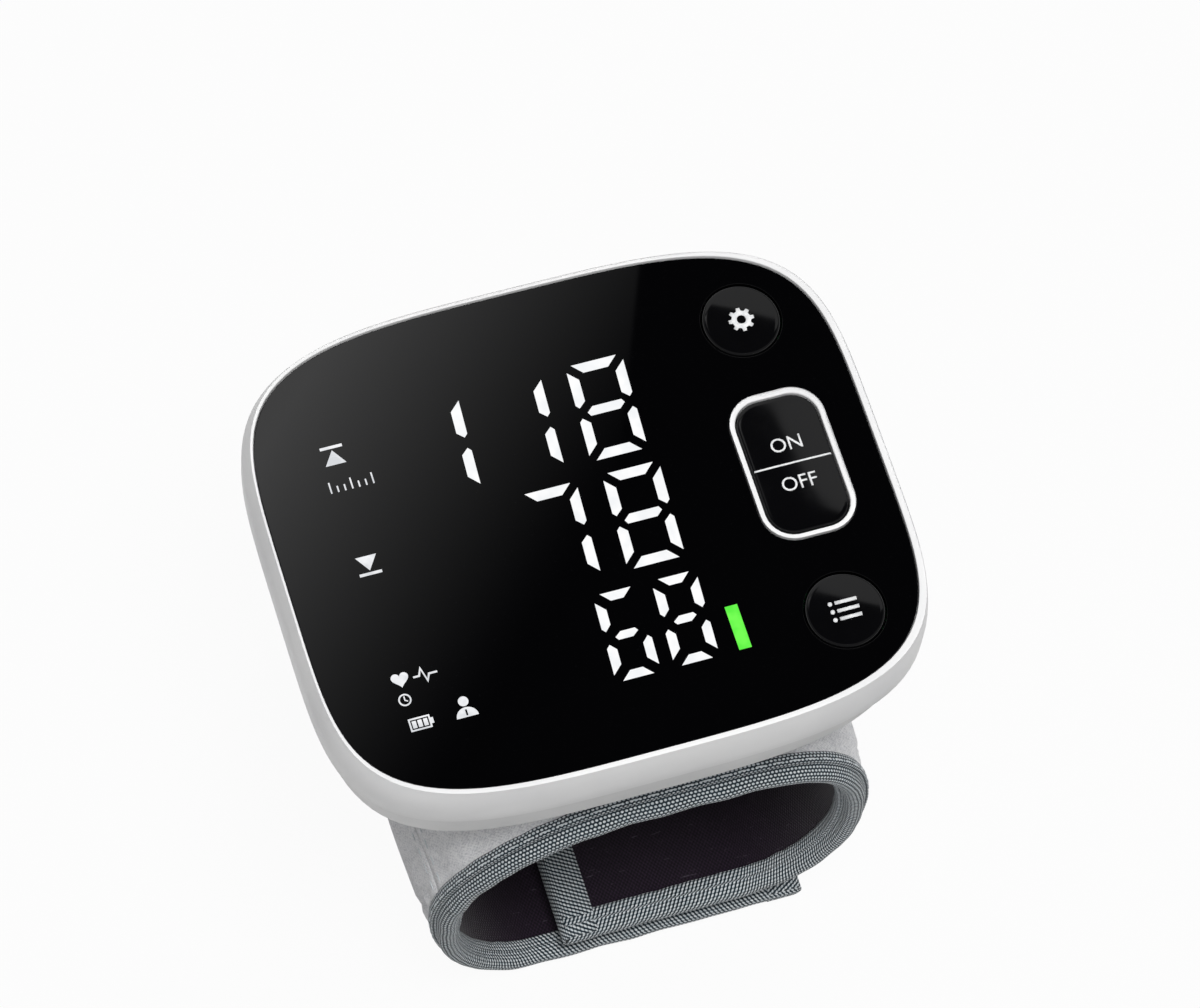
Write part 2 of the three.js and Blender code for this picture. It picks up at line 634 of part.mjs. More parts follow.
// Keys, each over a tact switch on the board

function roundKey(y) {
  const cap = post(KEY_X, y, -FLANGE_BOTTOM, KEY_RISE, ROUND_KEY_RADIUS - KEY_GAP, KEY_SIDES);
  const flangeRadius = ROUND_KEY_RADIUS + KEY_FLANGE_WIDTH;
  return join(cap, post(KEY_X, y, -FLANGE_BOTTOM, -FLANGE_TOP, flangeRadius, KEY_SIDES));
}

function startStopKey() {
  const cap = prism(startOutline(-KEY_GAP), -FLANGE_BOTTOM, KEY_RISE);
  return join(cap, prism(startOutline(KEY_FLANGE_WIDTH), -FLANGE_BOTTOM, -FLANGE_TOP));
}

function startStopRing() {
  const outer = prism(startOutline(RING_WIDTH), -PANEL_THICKNESS, RING_RISE);
  return cut(outer, prism(startOutline(0), -PANEL_THICKNESS - WALL, RING_RISE + WALL));
}

function switchHousing(y) {
  const half = SWITCH_SIZE / 2;
  const boreEnd = SWITCH_TOP + PLUNGER_INSERT + KEY_TRAVEL + CLEARANCE;
  const housing = box(KEY_X - half, KEY_X + half, y - half, y + half, -BOARD_TOP, -SWITCH_TOP);
  return cut(housing, post(KEY_X, y, -boreEnd, WALL - SWITCH_TOP, PLUNGER_RADIUS + CLEARANCE));
}

function switchPlunger(y) {
  return post(KEY_X, y, -SWITCH_TOP - PLUNGER_INSERT, -PLUNGER_TOP, PLUNGER_RADIUS);
}

function addKeys() {
  addPart(monitor, "set_key", roundKey(KEY_ROW_Y), BLACK_GLOSS);
  addPart(monitor, "start_stop_key", startStopKey(), BLACK_GLOSS);
  addPart(monitor, "memory_key", roundKey(-KEY_ROW_Y), BLACK_GLOSS);
  addPart(monitor, "start_stop_ring", startStopRing(), RING_WHITE);
  for (const [name, y] of [["set", KEY_ROW_Y], ["start", 0], ["memory", -KEY_ROW_Y]]) {
    addPart(monitor, `${name}_switch`, switchHousing(y), SWITCH_BLACK);
    addPart(monitor, `${name}_plunger`, switchPlunger(y), SWITCH_BLACK);
  }
}

// Board and readout

function displayHousing() {
  const top = -PANEL_THICKNESS - CLEARANCE - DIFFUSER_THICKNESS;
  const rowHeight = (READOUT_TOP - READOUT_BOTTOM - READOUT_WALL) / READOUT_ROWS;
  const block = box(READOUT_LEFT, READOUT_RIGHT, READOUT_BOTTOM, READOUT_TOP, -BOARD_TOP, top);
  const pockets = [];
  const left = READOUT_LEFT + READOUT_WALL;
  const right = READOUT_RIGHT - READOUT_WALL;
  for (let row = 0; row < READOUT_ROWS; row++) {
    const low = READOUT_BOTTOM + READOUT_WALL + row * rowHeight;
    const high = low + rowHeight - READOUT_WALL;
    pockets.push(box(left, right, low, high, -BOARD_TOP + READOUT_WALL, top + WALL));
  }
  return cut(block, ...pockets);
}

function addElectronics() {
  const board = roundedOutline(BOARD_HALF_WIDTH, BOARD_HALF_HEIGHT, WALL);
  addPart(monitor, "main_board", prism(board, -BOARD_BOTTOM, -BOARD_TOP), BOARD_GREEN);
  const half = CHIP_SIZE / 2;
  const chipX = BAY_INNER_X + BAY_WALL + CHIP_GAP;
  const chip = box(chipX, chipX + CHIP_SIZE, -half, half, -BOARD_BOTTOM - CHIP_HEIGHT, -BOARD_BOTTOM);
  addPart(monitor, "microcontroller", chip, SWITCH_BLACK);
  addPart(monitor, "display_housing", displayHousing(), RING_WHITE);
  addPart(monitor, "segment_diffuser", box(READOUT_LEFT, READOUT_RIGHT, READOUT_BOTTOM, READOUT_TOP,
    -PANEL_THICKNESS - CLEARANCE - DIFFUSER_THICKNESS, -PANEL_THICKNESS - CLEARANCE), DIFFUSER_WHITE);
  addPart(monitor, "buzzer", bar([BUZZER_X, 0, -BOARD_BOTTOM - BUZZER_HEIGHT], [BUZZER_X, 0, -BOARD_BOTTOM],
    BUZZER_RADIUS), SWITCH_BLACK);
}

// Cells and contacts. A cell's nub points to +Y or -Y, with a spring at its other end

function cell(x, nubSide) {
  const nubTip = nubSide * (BAY_HALF_LENGTH - CLEARANCE);
  const shoulder = nubTip - nubSide * CELL_NUB_LENGTH;
  const base = shoulder - nubSide * CELL_LENGTH;
  const can = bar([x, base, -CELL_DEPTH], [x, shoulder, -CELL_DEPTH], CELL_RADIUS);
  return join(can, bar([x, base / 2, -CELL_DEPTH], [x, nubTip, -CELL_DEPTH], CELL_NUB_RADIUS, SMALL_SIDES));
}

function contactPlate(x0, x1, side) {
  const [low, high] = sorted(side * BAY_HALF_LENGTH, side * (BAY_HALF_LENGTH + CONTACT_THICKNESS));
  return box(x0 - CONTACT_HALF_SIZE, x1 + CONTACT_HALF_SIZE, low, high,
    -CELL_DEPTH - CONTACT_HALF_SIZE, -CELL_DEPTH + CONTACT_HALF_SIZE);
}

function contactSpring(x, side) {
  const root = [x, side * (BAY_HALF_LENGTH + CONTACT_THICKNESS / 2), -CELL_DEPTH];
  const tip = [x, side * (BAY_HALF_LENGTH - SPRING_HEIGHT + CLEARANCE), -CELL_DEPTH];
  return bar(root, tip, SPRING_BASE_RADIUS, SMALL_SIDES, SPRING_TIP_RADIUS);
}

function addPower() {
  const [outerX, innerX] = CELL_PLACES;
  addPart(monitor, "cell_1", cell(outerX, 1), CELL_WRAP);
  addPart(monitor, "cell_2", cell(innerX, -1), CELL_WRAP);
  const bridge = join(contactPlate(outerX, innerX, -1), contactSpring(outerX, -1));
  const negative = join(contactPlate(innerX, innerX, 1), contactSpring(innerX, 1));
  addPart(monitor, "bridge_contact", bridge, STEEL);
  addPart(monitor, "positive_contact", contactPlate(outerX, outerX, 1), STEEL);
  addPart(monitor, "negative_contact", negative, STEEL);
}

// Pump: motor, crank, housing, diaphragm and head in a row along X

const HEAD_END_X = TEE_X - PUMP_OUTLET_REACH;
const HEAD_X = HEAD_END_X - HEAD_LENGTH;
const DIAPHRAGM_X = HEAD_X - CLEARANCE - DIAPHRAGM_THICKNESS;
const PUMP_END_X = DIAPHRAGM_X - CLEARANCE;
const PUMP_FACE_X = PUMP_END_X - PUMP_LENGTH;
const MOTOR_FACE_X = PUMP_FACE_X - CLEARANCE;
const MOTOR_X = MOTOR_FACE_X - MOTOR_LENGTH;

function pumpBar(x0, x1, radius, sides) {
  return bar([x0, PUMP_Y, -PUMP_DEPTH], [x1, PUMP_Y, -PUMP_DEPTH], radius, sides);
}

function pumpHousing() {
  const room = CRANK_RADIUS + CRANK_OFFSET + CLEARANCE;
  return cut(
    pumpBar(PUMP_FACE_X, PUMP_END_X, MOTOR_RADIUS),
    pumpBar(PUMP_FACE_X - WALL, PUMP_END_X - PUMP_WALL, room),
  );
}

function motorShaft() {
  const crankX = PUMP_FACE_X + CLEARANCE + CRANK_WIDTH / 2;
  const crankZ = CRANK_OFFSET - PUMP_DEPTH;
  const crank = bar([crankX, PUMP_Y, crankZ], [crankX + CRANK_WIDTH, PUMP_Y, crankZ], CRANK_RADIUS);
  const shaftBack = MOTOR_FACE_X - SHAFT_DEPTH + CLEARANCE;
  return join(pumpBar(shaftBack, crankX + CRANK_WIDTH, SHAFT_RADIUS, SMALL_SIDES), crank);
}

function addPump() {
  const motor = cut(
    pumpBar(MOTOR_X, MOTOR_FACE_X, MOTOR_RADIUS),
    pumpBar(MOTOR_FACE_X - SHAFT_DEPTH, MOTOR_FACE_X + WALL, SHAFT_RADIUS + CLEARANCE, SMALL_SIDES),
  );
  const head = join(
    pumpBar(HEAD_X, HEAD_END_X, MOTOR_RADIUS),
    pumpBar(HEAD_END_X - HEAD_LENGTH / 2, HEAD_END_X + NIPPLE_LENGTH, NIPPLE_RADIUS, SMALL_SIDES),
  );
  addPart(monitor, "pump_motor", motor, STEEL);
  addPart(monitor, "motor_shaft", motorShaft(), BRASS);
  addPart(monitor, "pump_housing", pumpHousing(), SWITCH_BLACK);
  addPart(monitor, "pump_diaphragm", pumpBar(DIAPHRAGM_X, DIAPHRAGM_X + DIAPHRAGM_THICKNESS, MOTOR_RADIUS),
    BLADDER_GREY);
  addPart(monitor, "pump_head", head, WHITE_PLASTIC);
}

// Release valve: a coil that draws a sprung stem off its seat

const SEAT_END_X = TEE_X - VALVE_INLET_REACH;
const SEAT_X = SEAT_END_X - SEAT_LENGTH;
const COIL_END_X = SEAT_X - CLEARANCE;
const VALVE_X = COIL_END_X - COIL_LENGTH;
const STEM_TIP_X = COIL_END_X + VALVE_STEM_PROUD;

function valveBar(x0, x1, radius, sides) {
  return bar([x0, VALVE_Y, -VALVE_DEPTH], [x1, VALVE_Y, -VALVE_DEPTH], radius, sides);
}

function addValve() {
  const stemBack = STEM_TIP_X - VALVE_STEM_LENGTH;
  const bore = VALVE_STEM_RADIUS + CLEARANCE;
  const coil = cut(
    valveBar(VALVE_X, COIL_END_X, COIL_RADIUS),
    valveBar(stemBack - VALVE_TRAVEL - CLEARANCE, COIL_END_X + WALL, bore, SMALL_SIDES),
  );
  const seat = cut(
    join(
      valveBar(SEAT_X, SEAT_END_X, SEAT_RADIUS),
      valveBar(SEAT_END_X - SEAT_WALL, SEAT_END_X + NIPPLE_LENGTH, NIPPLE_RADIUS, SMALL_SIDES),
    ),
    valveBar(SEAT_X - WALL, STEM_TIP_X + CLEARANCE, bore, SMALL_SIDES),
  );
  addPart(monitor, "valve_coil", coil, STEEL);
  addPart(monitor, "valve_stem", valveBar(stemBack, STEM_TIP_X, VALVE_STEM_RADIUS, SMALL_SIDES), BRASS);
  addPart(monitor, "valve_seat", seat, WHITE_PLASTIC);
}

// Air line: pump, valve and sensor meet at a tee, and a nozzle feeds the bladder

function airTee() {
  const reach = TEE_HALF_SIZE + NIPPLE_LENGTH;
  const centre = [TEE_X, 0, -TEE_DEPTH];
  const body = box(TEE_X - TEE_HALF_SIZE, TEE_X + TEE_HALF_SIZE, -TEE_HALF_SIZE, TEE_HALF_SIZE,
    -TEE_DEPTH - TEE_HALF_SIZE, -TEE_DEPTH + TEE_HALF_SIZE);
  return join(
    body,
    bar(centre, [TEE_X, reach, -TEE_DEPTH], NIPPLE_RADIUS, SMALL_SIDES),
    bar(centre, [TEE_X, -reach, -TEE_DEPTH], NIPPLE_RADIUS, SMALL_SIDES),
    bar(centre, [TEE_X - reach, 0, -TEE_DEPTH], NIPPLE_RADIUS, SMALL_SIDES),
    bar(centre, [TEE_X, 0, -TEE_DEPTH + TEE_HALF_SIZE + CLEARANCE], NIPPLE_RADIUS, SMALL_SIDES),
  );
}

function airNozzle() {
  const tip = FABRIC_TOP - BLADDER_INSET - BLADDER / 2 - FACE_HEIGHT;
  const flange = [NOZZLE_X, 0, -FLOOR_DEPTH + CLEARANCE];
  const flangeTop = [NOZZLE_X, 0, -FLOOR_DEPTH + CLEARANCE + NOZZLE_FLANGE_HEIGHT];
  const stemTop = [NOZZLE_X, 0, -TEE_DEPTH + NOZZLE_RADIUS];
  const branch = [NOZZLE_X + NOZZLE_RADIUS + NIPPLE_LENGTH, 0, -TEE_DEPTH];
  const body = join(
    bar([NOZZLE_X, 0, tip], stemTop, NOZZLE_RADIUS, SMALL_SIDES),
    bar(flange, flangeTop, NOZZLE_FLANGE_RADIUS),
    bar([NOZZLE_X, 0, -TEE_DEPTH], branch, NIPPLE_RADIUS, SMALL_SIDES),
  );
  return cut(body, post(NOZZLE_X, 0, tip - WALL, -TEE_DEPTH, NOZZLE_BORE, SMALL_SIDES));
}

function addAirLine() {
  const outlet = HEAD_END_X + CLEARANCE;
  const inlet = SEAT_END_X + CLEARANCE;
  const teeSide = TEE_HALF_SIZE + CLEARANCE;
  const bendX = TEE_X - HOSE_OUTER_RADIUS;
  const level = -TEE_DEPTH;
  addPart(monitor, "pressure_sensor", box(TEE_X - SENSOR_HALF_SIZE, TEE_X + SENSOR_HALF_SIZE,
    -SENSOR_HALF_SIZE, SENSOR_HALF_SIZE, -SENSOR_BOTTOM, -BOARD_BOTTOM), WHITE_PLASTIC);
  addPart(monitor, "air_tee", airTee(), WHITE_PLASTIC);
  addPart(monitor, "pump_hose", hose([
    [outlet, PUMP_Y, -PUMP_DEPTH],
    [bendX, PUMP_Y, -PUMP_DEPTH],
    [TEE_X, PUMP_Y - 2 * HOSE_OUTER_RADIUS, (level - PUMP_DEPTH) / 2],
    [TEE_X, teeSide + NIPPLE_LENGTH, level],
    [TEE_X, teeSide, level],
  ]), SILICONE);
  addPart(monitor, "valve_hose", hose([
    [inlet, VALVE_Y, -VALVE_DEPTH],
    [bendX, VALVE_Y, -VALVE_DEPTH],
    [TEE_X, VALVE_Y + 2 * HOSE_OUTER_RADIUS, (level - VALVE_DEPTH) / 2],
    [TEE_X, -teeSide - NIPPLE_LENGTH, level],
    [TEE_X, -teeSide, level],
  ]), SILICONE);
  addPart(monitor, "sensor_hose", hose([
    [TEE_X, 0, level + TEE_HALF_SIZE + CLEARANCE],
    [TEE_X, 0, -SENSOR_BOTTOM - CLEARANCE],
  ]), SILICONE);
  addPart(monitor, "cuff_hose", hose([
    [TEE_X - teeSide, 0, level],
    [NOZZLE_X + NOZZLE_RADIUS + CLEARANCE, 0, level],
  ]), SILICONE);
  addPart(monitor, "air_nozzle", airNozzle(), WHITE_PLASTIC);
}

function addCuffScrews() {
  const seat = -FLOOR_DEPTH + CLEARANCE;
  const tip = FABRIC_TOP - STIFFENER_INSET - STIFFENER - FACE_HEIGHT;
  CUFF_SCREW_PLACES.forEach(([x, y], i) => {
    const head = post(x, y, seat, seat + CUFF_SCREW_HEAD_HEIGHT, CUFF_SCREW_HEAD_RADIUS, SMALL_SIDES);
    const shank = post(x, y, tip, seat + CUFF_SCREW_HEAD_HEIGHT / 2, CUFF_SCREW_RADIUS, SMALL_SIDES);
    addPart(monitor, `cuff_screw_${i + 1}`, join(head, shank), STEEL);
  });
}

// Cuff: a wrap over the wrist and a tail that closes under it

// Tape folded over an edge of a strap
function edgeBinding(line, thickness, side) {
  const edge = side * CUFF_HALF_LENGTH;
  const hem = edge - side * BINDING_WIDTH;
  const fold = edge - side * BINDING_THICKNESS;
  const beyond = hem - side * BINDING_WIDTH;
  const [start, end] = [BINDING_THICKNESS, line.length - BINDING_THICKNESS];
  const [outside, inside] = [-BINDING_PROUD, thickness + BINDING_PROUD];
  const tape = band(line, 0, line.length, outside, inside, ...sorted(edge, hem));
  return cut(tape, band(line, start, end, -LAYER_GAP, thickness + LAYER_GAP, ...sorted(fold, beyond)));
}

function addWrap() {
  const holes = cuffHoles().map((hole) => hole.translate(0, 0, FACE_HEIGHT));
  const half = CUFF_HALF_LENGTH - BINDING_PROUD;
  const end = BINDING_PROUD;
  const stiffHalf = half - STIFFENER_MARGIN;
  const airHalf = stiffHalf - BLADDER_MARGIN;
  const [start, finish] = [end, wrapLine.length - end];
  const stiffFinish = wrapLine.length - STIFFENER_END;
  const stiffStart = start + STIFFENER_MARGIN;
  const outer = band(wrapLine, start, finish, 0, OUTER_FABRIC, -half, half);
  const stiffener = band(wrapLine, stiffStart, stiffFinish, STIFFENER_INSET, STIFFENER_INSET + STIFFENER,
    -stiffHalf, stiffHalf);
  const bladder = band(wrapLine, stiffStart + BLADDER_END, stiffFinish - BLADDER_END, BLADDER_INSET,
    BLADDER_INSET + BLADDER, -airHalf, airHalf);
  const lining = band(wrapLine, start, finish, LINING_INSET, LINING_INSET + LINING, -half, half);
  addPart(cuff, "cuff_outer_fabric", cut(outer, ...holes), FABRIC_GREY);
  addPart(cuff, "cuff_stiffener", cut(stiffener, ...holes), SWITCH_BLACK);
  addPart(cuff, "air_bladder", cut(bladder, holes[holes.length - 1]), BLADDER_GREY);
  addPart(cuff, "cuff_lining", lining, LINING_DARK);
  addPart(cuff, "cuff_binding_near", edgeBinding(wrapLine, WRAP_THICKNESS, -1), BINDING_BLUE);
  addPart(cuff, "cuff_binding_far", edgeBinding(wrapLine, WRAP_THICKNESS, 1), BINDING_BLUE);
}

function addTail() {
  const half = CUFF_HALF_LENGTH - BINDING_PROUD;
  const hookHalf = CUFF_HALF_LENGTH - BINDING_WIDTH - HOOK_MARGIN;
  const hookEnd = CUFF_CENTRE_X + TAIL_END - BINDING_PROUD - HOOK_MARGIN;
  const hookLow = TAIL_LEVEL + TAIL_THICKNESS + LAYER_GAP;
  const [start, end] = [BINDING_PROUD, tailLine.length - BINDING_PROUD];
  addPart(cuff, "cuff_tail", band(tailLine, start, end, 0, TAIL_THICKNESS, -half, half), FABRIC_GREY);
  addPart(cuff, "tail_binding_near", edgeBinding(tailLine, TAIL_THICKNESS, -1), BINDING_BLUE);
  addPart(cuff, "tail_binding_far", edgeBinding(tailLine, TAIL_THICKNESS, 1), BINDING_BLUE);
  addPart(cuff, "hook_patch", box(hookEnd - HOOK_LENGTH, hookEnd, -hookHalf, hookHalf, hookLow,
    WRAP_LEVEL - LAYER_GAP), LINING_DARK);
}

addShells();
addKeys();
addElectronics();
addPower();
addPump();
addValve();
addAirLine();
addCuffScrews();
addWrap();
addTail();

const wristMonitor = new THREE.Group();
wristMonitor.add(monitor, cuff);

export default wristMonitor;
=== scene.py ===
"""Looks of a wrist blood pressure monitor: a readout body on a closed fabric cuff."""

import json
import math
from bisect import bisect
from collections import namedtuple

import bmesh
import bpy
from mathutils import Matrix, Vector, noise
from mathutils.geometry import interpolate_bezier


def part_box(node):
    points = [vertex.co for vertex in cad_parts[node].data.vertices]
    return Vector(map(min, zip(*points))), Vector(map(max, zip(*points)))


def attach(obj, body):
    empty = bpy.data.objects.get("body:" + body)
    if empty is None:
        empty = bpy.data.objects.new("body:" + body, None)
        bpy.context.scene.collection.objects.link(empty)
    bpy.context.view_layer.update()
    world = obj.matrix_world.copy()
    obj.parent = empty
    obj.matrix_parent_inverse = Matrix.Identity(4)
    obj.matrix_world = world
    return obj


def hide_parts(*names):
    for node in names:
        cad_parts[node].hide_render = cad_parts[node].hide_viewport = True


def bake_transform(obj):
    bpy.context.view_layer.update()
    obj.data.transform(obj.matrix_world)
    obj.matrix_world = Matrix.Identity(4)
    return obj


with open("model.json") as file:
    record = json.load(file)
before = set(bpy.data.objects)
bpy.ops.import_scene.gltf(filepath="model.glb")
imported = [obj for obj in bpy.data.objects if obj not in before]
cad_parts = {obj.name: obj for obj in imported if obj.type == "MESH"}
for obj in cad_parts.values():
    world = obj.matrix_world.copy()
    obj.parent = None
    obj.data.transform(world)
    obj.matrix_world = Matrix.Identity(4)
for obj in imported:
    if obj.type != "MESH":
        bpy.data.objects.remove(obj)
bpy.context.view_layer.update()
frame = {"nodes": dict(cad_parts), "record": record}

# Sizes are in millimetres until a piece is dressed
MM = 0.001


def corners(node):
    """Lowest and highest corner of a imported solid, in millimetres."""
    low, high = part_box(node)
    return Vector(low) / MM, Vector(high) / MM


def centre_of(node):
    low, high = corners(node)
    return (low + high) / 2


# Body
PANEL_LOW, PANEL_HIGH = corners("front_panel")
BEZEL_HIGH = corners("front_bezel")[1]
REAR_LOW, REAR_HIGH = corners("rear_case")
FACE = PANEL_HIGH.z
PANEL_HALF_WIDTH = PANEL_HIGH.x
PANEL_HALF_HEIGHT = PANEL_HIGH.y
PANEL_THICKNESS = PANEL_HIGH.z - PANEL_LOW.z
SIDE_POWER = 2 / 3.65
END_POWER = 2 / 4.69
OUTLINE_POINTS = 176
OUTLINE_DENSITY = 2400
RIM_WIDTH = BEZEL_HIGH.x - PANEL_HIGH.x
LIP_RISE = BEZEL_HIGH.z - FACE
LIP_GROWTH = 0.72
LIP_SHIFT = Vector((0.28, -0.15))
LIP_ROUND = 0.14
LIP_INNER_ROUND = 0.12
FLARE_DEPTH = 4.5
FLARE_STEPS = 9
PANEL_FIT = 0.12
PANEL_SEAT = 0.02
PANEL_EDGE_ROUND = 0.16
LEDGE_WIDTH = 1.6
LEDGE_THICKNESS = 1.4
BEZEL_DEPTH = 7.4
BEZEL_FOOT_ROUND = 0.25
WALL = 1.6
SEAM = FACE - REAR_HIGH.z
REAR_DEPTH = FACE - REAR_LOW.z
REAR_START_GROWTH = 1.35
REAR_DRAFT = 0.2
REAR_ROUND_HEIGHT = 10
REAR_ROUND_WIDTH = 11
REAR_ROUND_STEPS = 18
REAR_LEVEL_GAP = 0.05
FLOOR_DEPTH = 19.8
CORE_DROP = 0.5
SADDLE_STEPS = 80
SADDLE_FOOT = 10
CASE_SCREWS = [centre_of(f"case_screw_{n}") for n in (1, 2, 3, 4)]
SCREW_SEAT = 13
WELL_RADIUS = 2.3
COLUMN_RADIUS = 3.3
COLUMN_TOP_DEPTH = 9.5
POST_POINTS = 32

# Battery bay and its door
DOOR_RIGHT = -26.5
DOOR_HALF_LENGTH = 22.8
DOOR_TOP_DEPTH = 9.4
DOOR_GAP = 0.3
CELL_SLEEVE = corners("cell_1")[1].y - 2.2
BAY_DEPTH = FACE - centre_of("cell_1").z
BAY_HALF_LENGTH = 23.35
BAY_INNER_X = -13.33
RIB = 1.2
RIB_TOP_DEPTH = 8.5
END_RIB = 1
END_RIB_DROP = 0.1
GRIP_RADIUS = 0.5
GRIP_HALF_LENGTH = 7
GRIP_PITCH = 2.2
GRIP_SINK = 0.05
FAR_OUT = 60

# Keys
KEY_ROUND_RADIUS = 5.27
KEY_GAP = 0.2
KEY_RISE = 0.25
KEY_CROWN = 0.24
KEY_SKIRT = 0.3
KEY_FALL = Vector((0.45, 0.89))
KEY_EDGE_STEPS = 5
KEY_TOP_STEPS = 14
KEY_TOP_REACH = 0.98
ROUND_EDGE = 0.42
START_EDGE = 0.24
START_RISE = 0.22
START_CROWN = 0.09
START_TILT = 0.07
RING_LOW, RING_HIGH = corners("start_stop_ring")
START_CENTRE = centre_of("start_stop_ring")
RING_RISE = 0.13
RING_WIDTH = 0.75
RING_GAP = 0.12
RING_PLAY = 0.02
RING_OUTER_ROUND = 0.24
RING_INNER_ROUND = 0.2
START_HALF_WIDTH = (RING_HIGH.x - RING_LOW.x) / 2 - RING_WIDTH
START_HALF_HEIGHT = (RING_HIGH.y - RING_LOW.y) / 2 - RING_WIDTH
START_CORNER = 3.7

# Cuff
TAPE_LOW, TAPE_HIGH = corners("cuff_binding_near")
TAPE_PROUD = 0.8
CUFF_MIDDLE_X = (TAPE_LOW.x + TAPE_HIGH.x) / 2
CUFF_HALF_WIDTH = (TAPE_HIGH.x - TAPE_LOW.x) / 2 - TAPE_PROUD
CUFF_HALF_LENGTH = -TAPE_LOW.y
CUFF_TOP = TAPE_HIGH.z - TAPE_PROUD
CUFF_SHOULDER = 26
TAPE_REACH = 3.5
TUCK = 1.3
OPEN_HALF = CUFF_HALF_LENGTH - TAPE_REACH
CLOTH_HALF = OPEN_HALF + TUCK
EDGE_THICKNESS = 2.0
WRAP_THICKNESS = 3.6
TAIL_THICKNESS = 2.4
WRAP_BOTTOM = 5.1
TAIL_BOTTOM = corners("tail_binding_near")[0].z + TAPE_PROUD
CURVE_STEPS = 48
FOLD_REACH = 6
CLOTH = 0.5
TAPE_CLOTH = 0.35


# Drawing helpers
def turns(count):
    return [2 * math.pi * i / count for i in range(count)]


def signed_power(value, power):
    return math.copysign(abs(value) ** power, value)


def even(points, count):
    """Points spread evenly round a closed line."""
    closed = points + points[:1]
    marks = [0]
    for near, far in zip(closed, closed[1:]):
        marks.append(marks[-1] + math.dist(near, far))
    spread = []
    for i in range(count):
        mark = marks[-1] * i / count
        k = bisect(marks, mark) - 1
        share = (mark - marks[k]) / (marks[k + 1] - marks[k])
        near, far = closed[k], closed[k + 1]
        spread.append((near[0] + (far[0] - near[0]) * share, near[1] + (far[1] - near[1]) * share))
    return spread


def body_outline(growth):
    """The body's outline, grown outwards by a width."""
    half_width = PANEL_HALF_WIDTH + growth
    half_height = PANEL_HALF_HEIGHT + growth
    dense = []
    for turn in turns(OUTLINE_DENSITY):
        x = half_width * signed_power(math.cos(turn), SIDE_POWER)
        y = half_height * signed_power(math.sin(turn), END_POWER)
        dense.append((x, y))
    return even(dense, OUTLINE_POINTS)


def shifted(points, place):
    return [(place.x + x, place.y + y) for x, y in points]


def disc(x, y, radius, count=48):
    return [(x + radius * math.cos(turn), y + radius * math.sin(turn)) for turn in turns(count)]


def box_points(x0, y0, x1, y1):
    return [(x0, y0), (x1, y0), (x1, y1), (x0, y1)]


CORNER_STEPS = 24


def rounded_box(x, y, half_width, half_height, corner, count=72):
    dense = []
    for quarter, (side, end) in enumerate(((1, 1), (-1, 1), (-1, -1), (1, -1))):
        for step in range(CORNER_STEPS + 1):
            turn = math.pi / 2 * (quarter + step / CORNER_STEPS)
            dense.append((
                x + side * (half_width - corner) + corner * math.cos(turn),
                y + end * (half_height - corner) + corner * math.sin(turn),
            ))
    dense = [p for i, p in enumerate(dense) if math.dist(p, dense[i - 1]) > 1e-6]
    return even(dense, count)


def start_outline(growth):
    half_width = START_HALF_WIDTH + growth
    half_height = START_HALF_HEIGHT + growth
    return rounded_box(*START_CENTRE.xy, half_width, half_height, START_CORNER + growth)


def round_outline(centre):
    return lambda growth: disc(*centre.xy, KEY_ROUND_RADIUS + growth)


# Mesh helpers
LOFT_APART = 10


def ring(bm, points, z):
    """A closed loop of edges through points at one height."""
    verts = bmesh.ops.create_circle(bm, segments=len(points), radius=1)["verts"]
    for vert, (x, y) in zip(verts, points):
        vert.co = (x, y, z)
    return verts


def edges_of(bm, verts):
    chosen = set(verts)
    return [edge for edge in bm.edges if edge.verts[0] in chosen and edge.verts[1] in chosen]


def cap(bm, verts):
    bmesh.ops.edgeloop_fill(bm, edges=edges_of(bm, verts))


def loft(bm, levels, closed=False):
    """Skins a stack of (points, height) loops; a closed stack joins its last loop to its first.

    The loops stand well apart while they are joined, so that none is joined the wrong way round.
    """
    loops = [ring(bm, points, LOFT_APART * step) for step, (points, z) in enumerate(levels)]
    for near, far in zip(loops, loops[1:] + loops[:1] if closed else loops[1:]):
        bmesh.ops.bridge_loops(bm, edges=edges_of(bm, near) + edges_of(bm, far))
    for verts, (points, z) in zip(loops, levels):
        for vert in verts:
            vert.co.z = z
    if not closed:
        cap(bm, loops[0])
        cap(bm, loops[-1])
    return loops


def prism(bm, points, low, high):
    loft(bm, [(points, low), (points, high)])


def block(bm, low, high):
    """A box between two corners."""
    size = Vector(high) - Vector(low)
    middle = (Vector(high) + Vector(low)) / 2
    shape = Matrix.Translation(middle) @ Matrix.Diagonal((*size, 1))
    bmesh.ops.create_cube(bm, size=1, matrix=shape)


def flat_sheet(loops, z):
    """A flat sheet at a height: the first loop is its edge, and the rest are holes."""
    bm = bmesh.new()
    for points in loops:
        ring(bm, points, z)
    bmesh.ops.triangle_fill(bm, use_beauty=True, use_dissolve=False, edges=bm.edges[:], normal=(0, 0, 1))
    bm.normal_update()
    for face in bm.faces:
        if face.normal.z < 0:
            face.normal_flip()
    return bm


def cloth_grid(columns, rows, place):
    """A sheet of cloth: place(u, v) gives a point and its spot on the cloth for shares of both sides."""
    bm = bmesh.new()
    bmesh.ops.create_grid(bm, x_segments=columns, y_segments=rows, size=1)
    chart = bm.loops.layers.uv.new("cloth")
    for vert in bm.verts:
        vert.co, spot = place((vert.co.x + 1) / 2, (vert.co.y + 1) / 2)
        for corner in vert.link_loops:
            corner[chart].uv = spot
    bm.normal_update()
    return bm


def lowest_face(bm):
    return min(bm.faces, key=lambda face: face.calc_center_median().z)


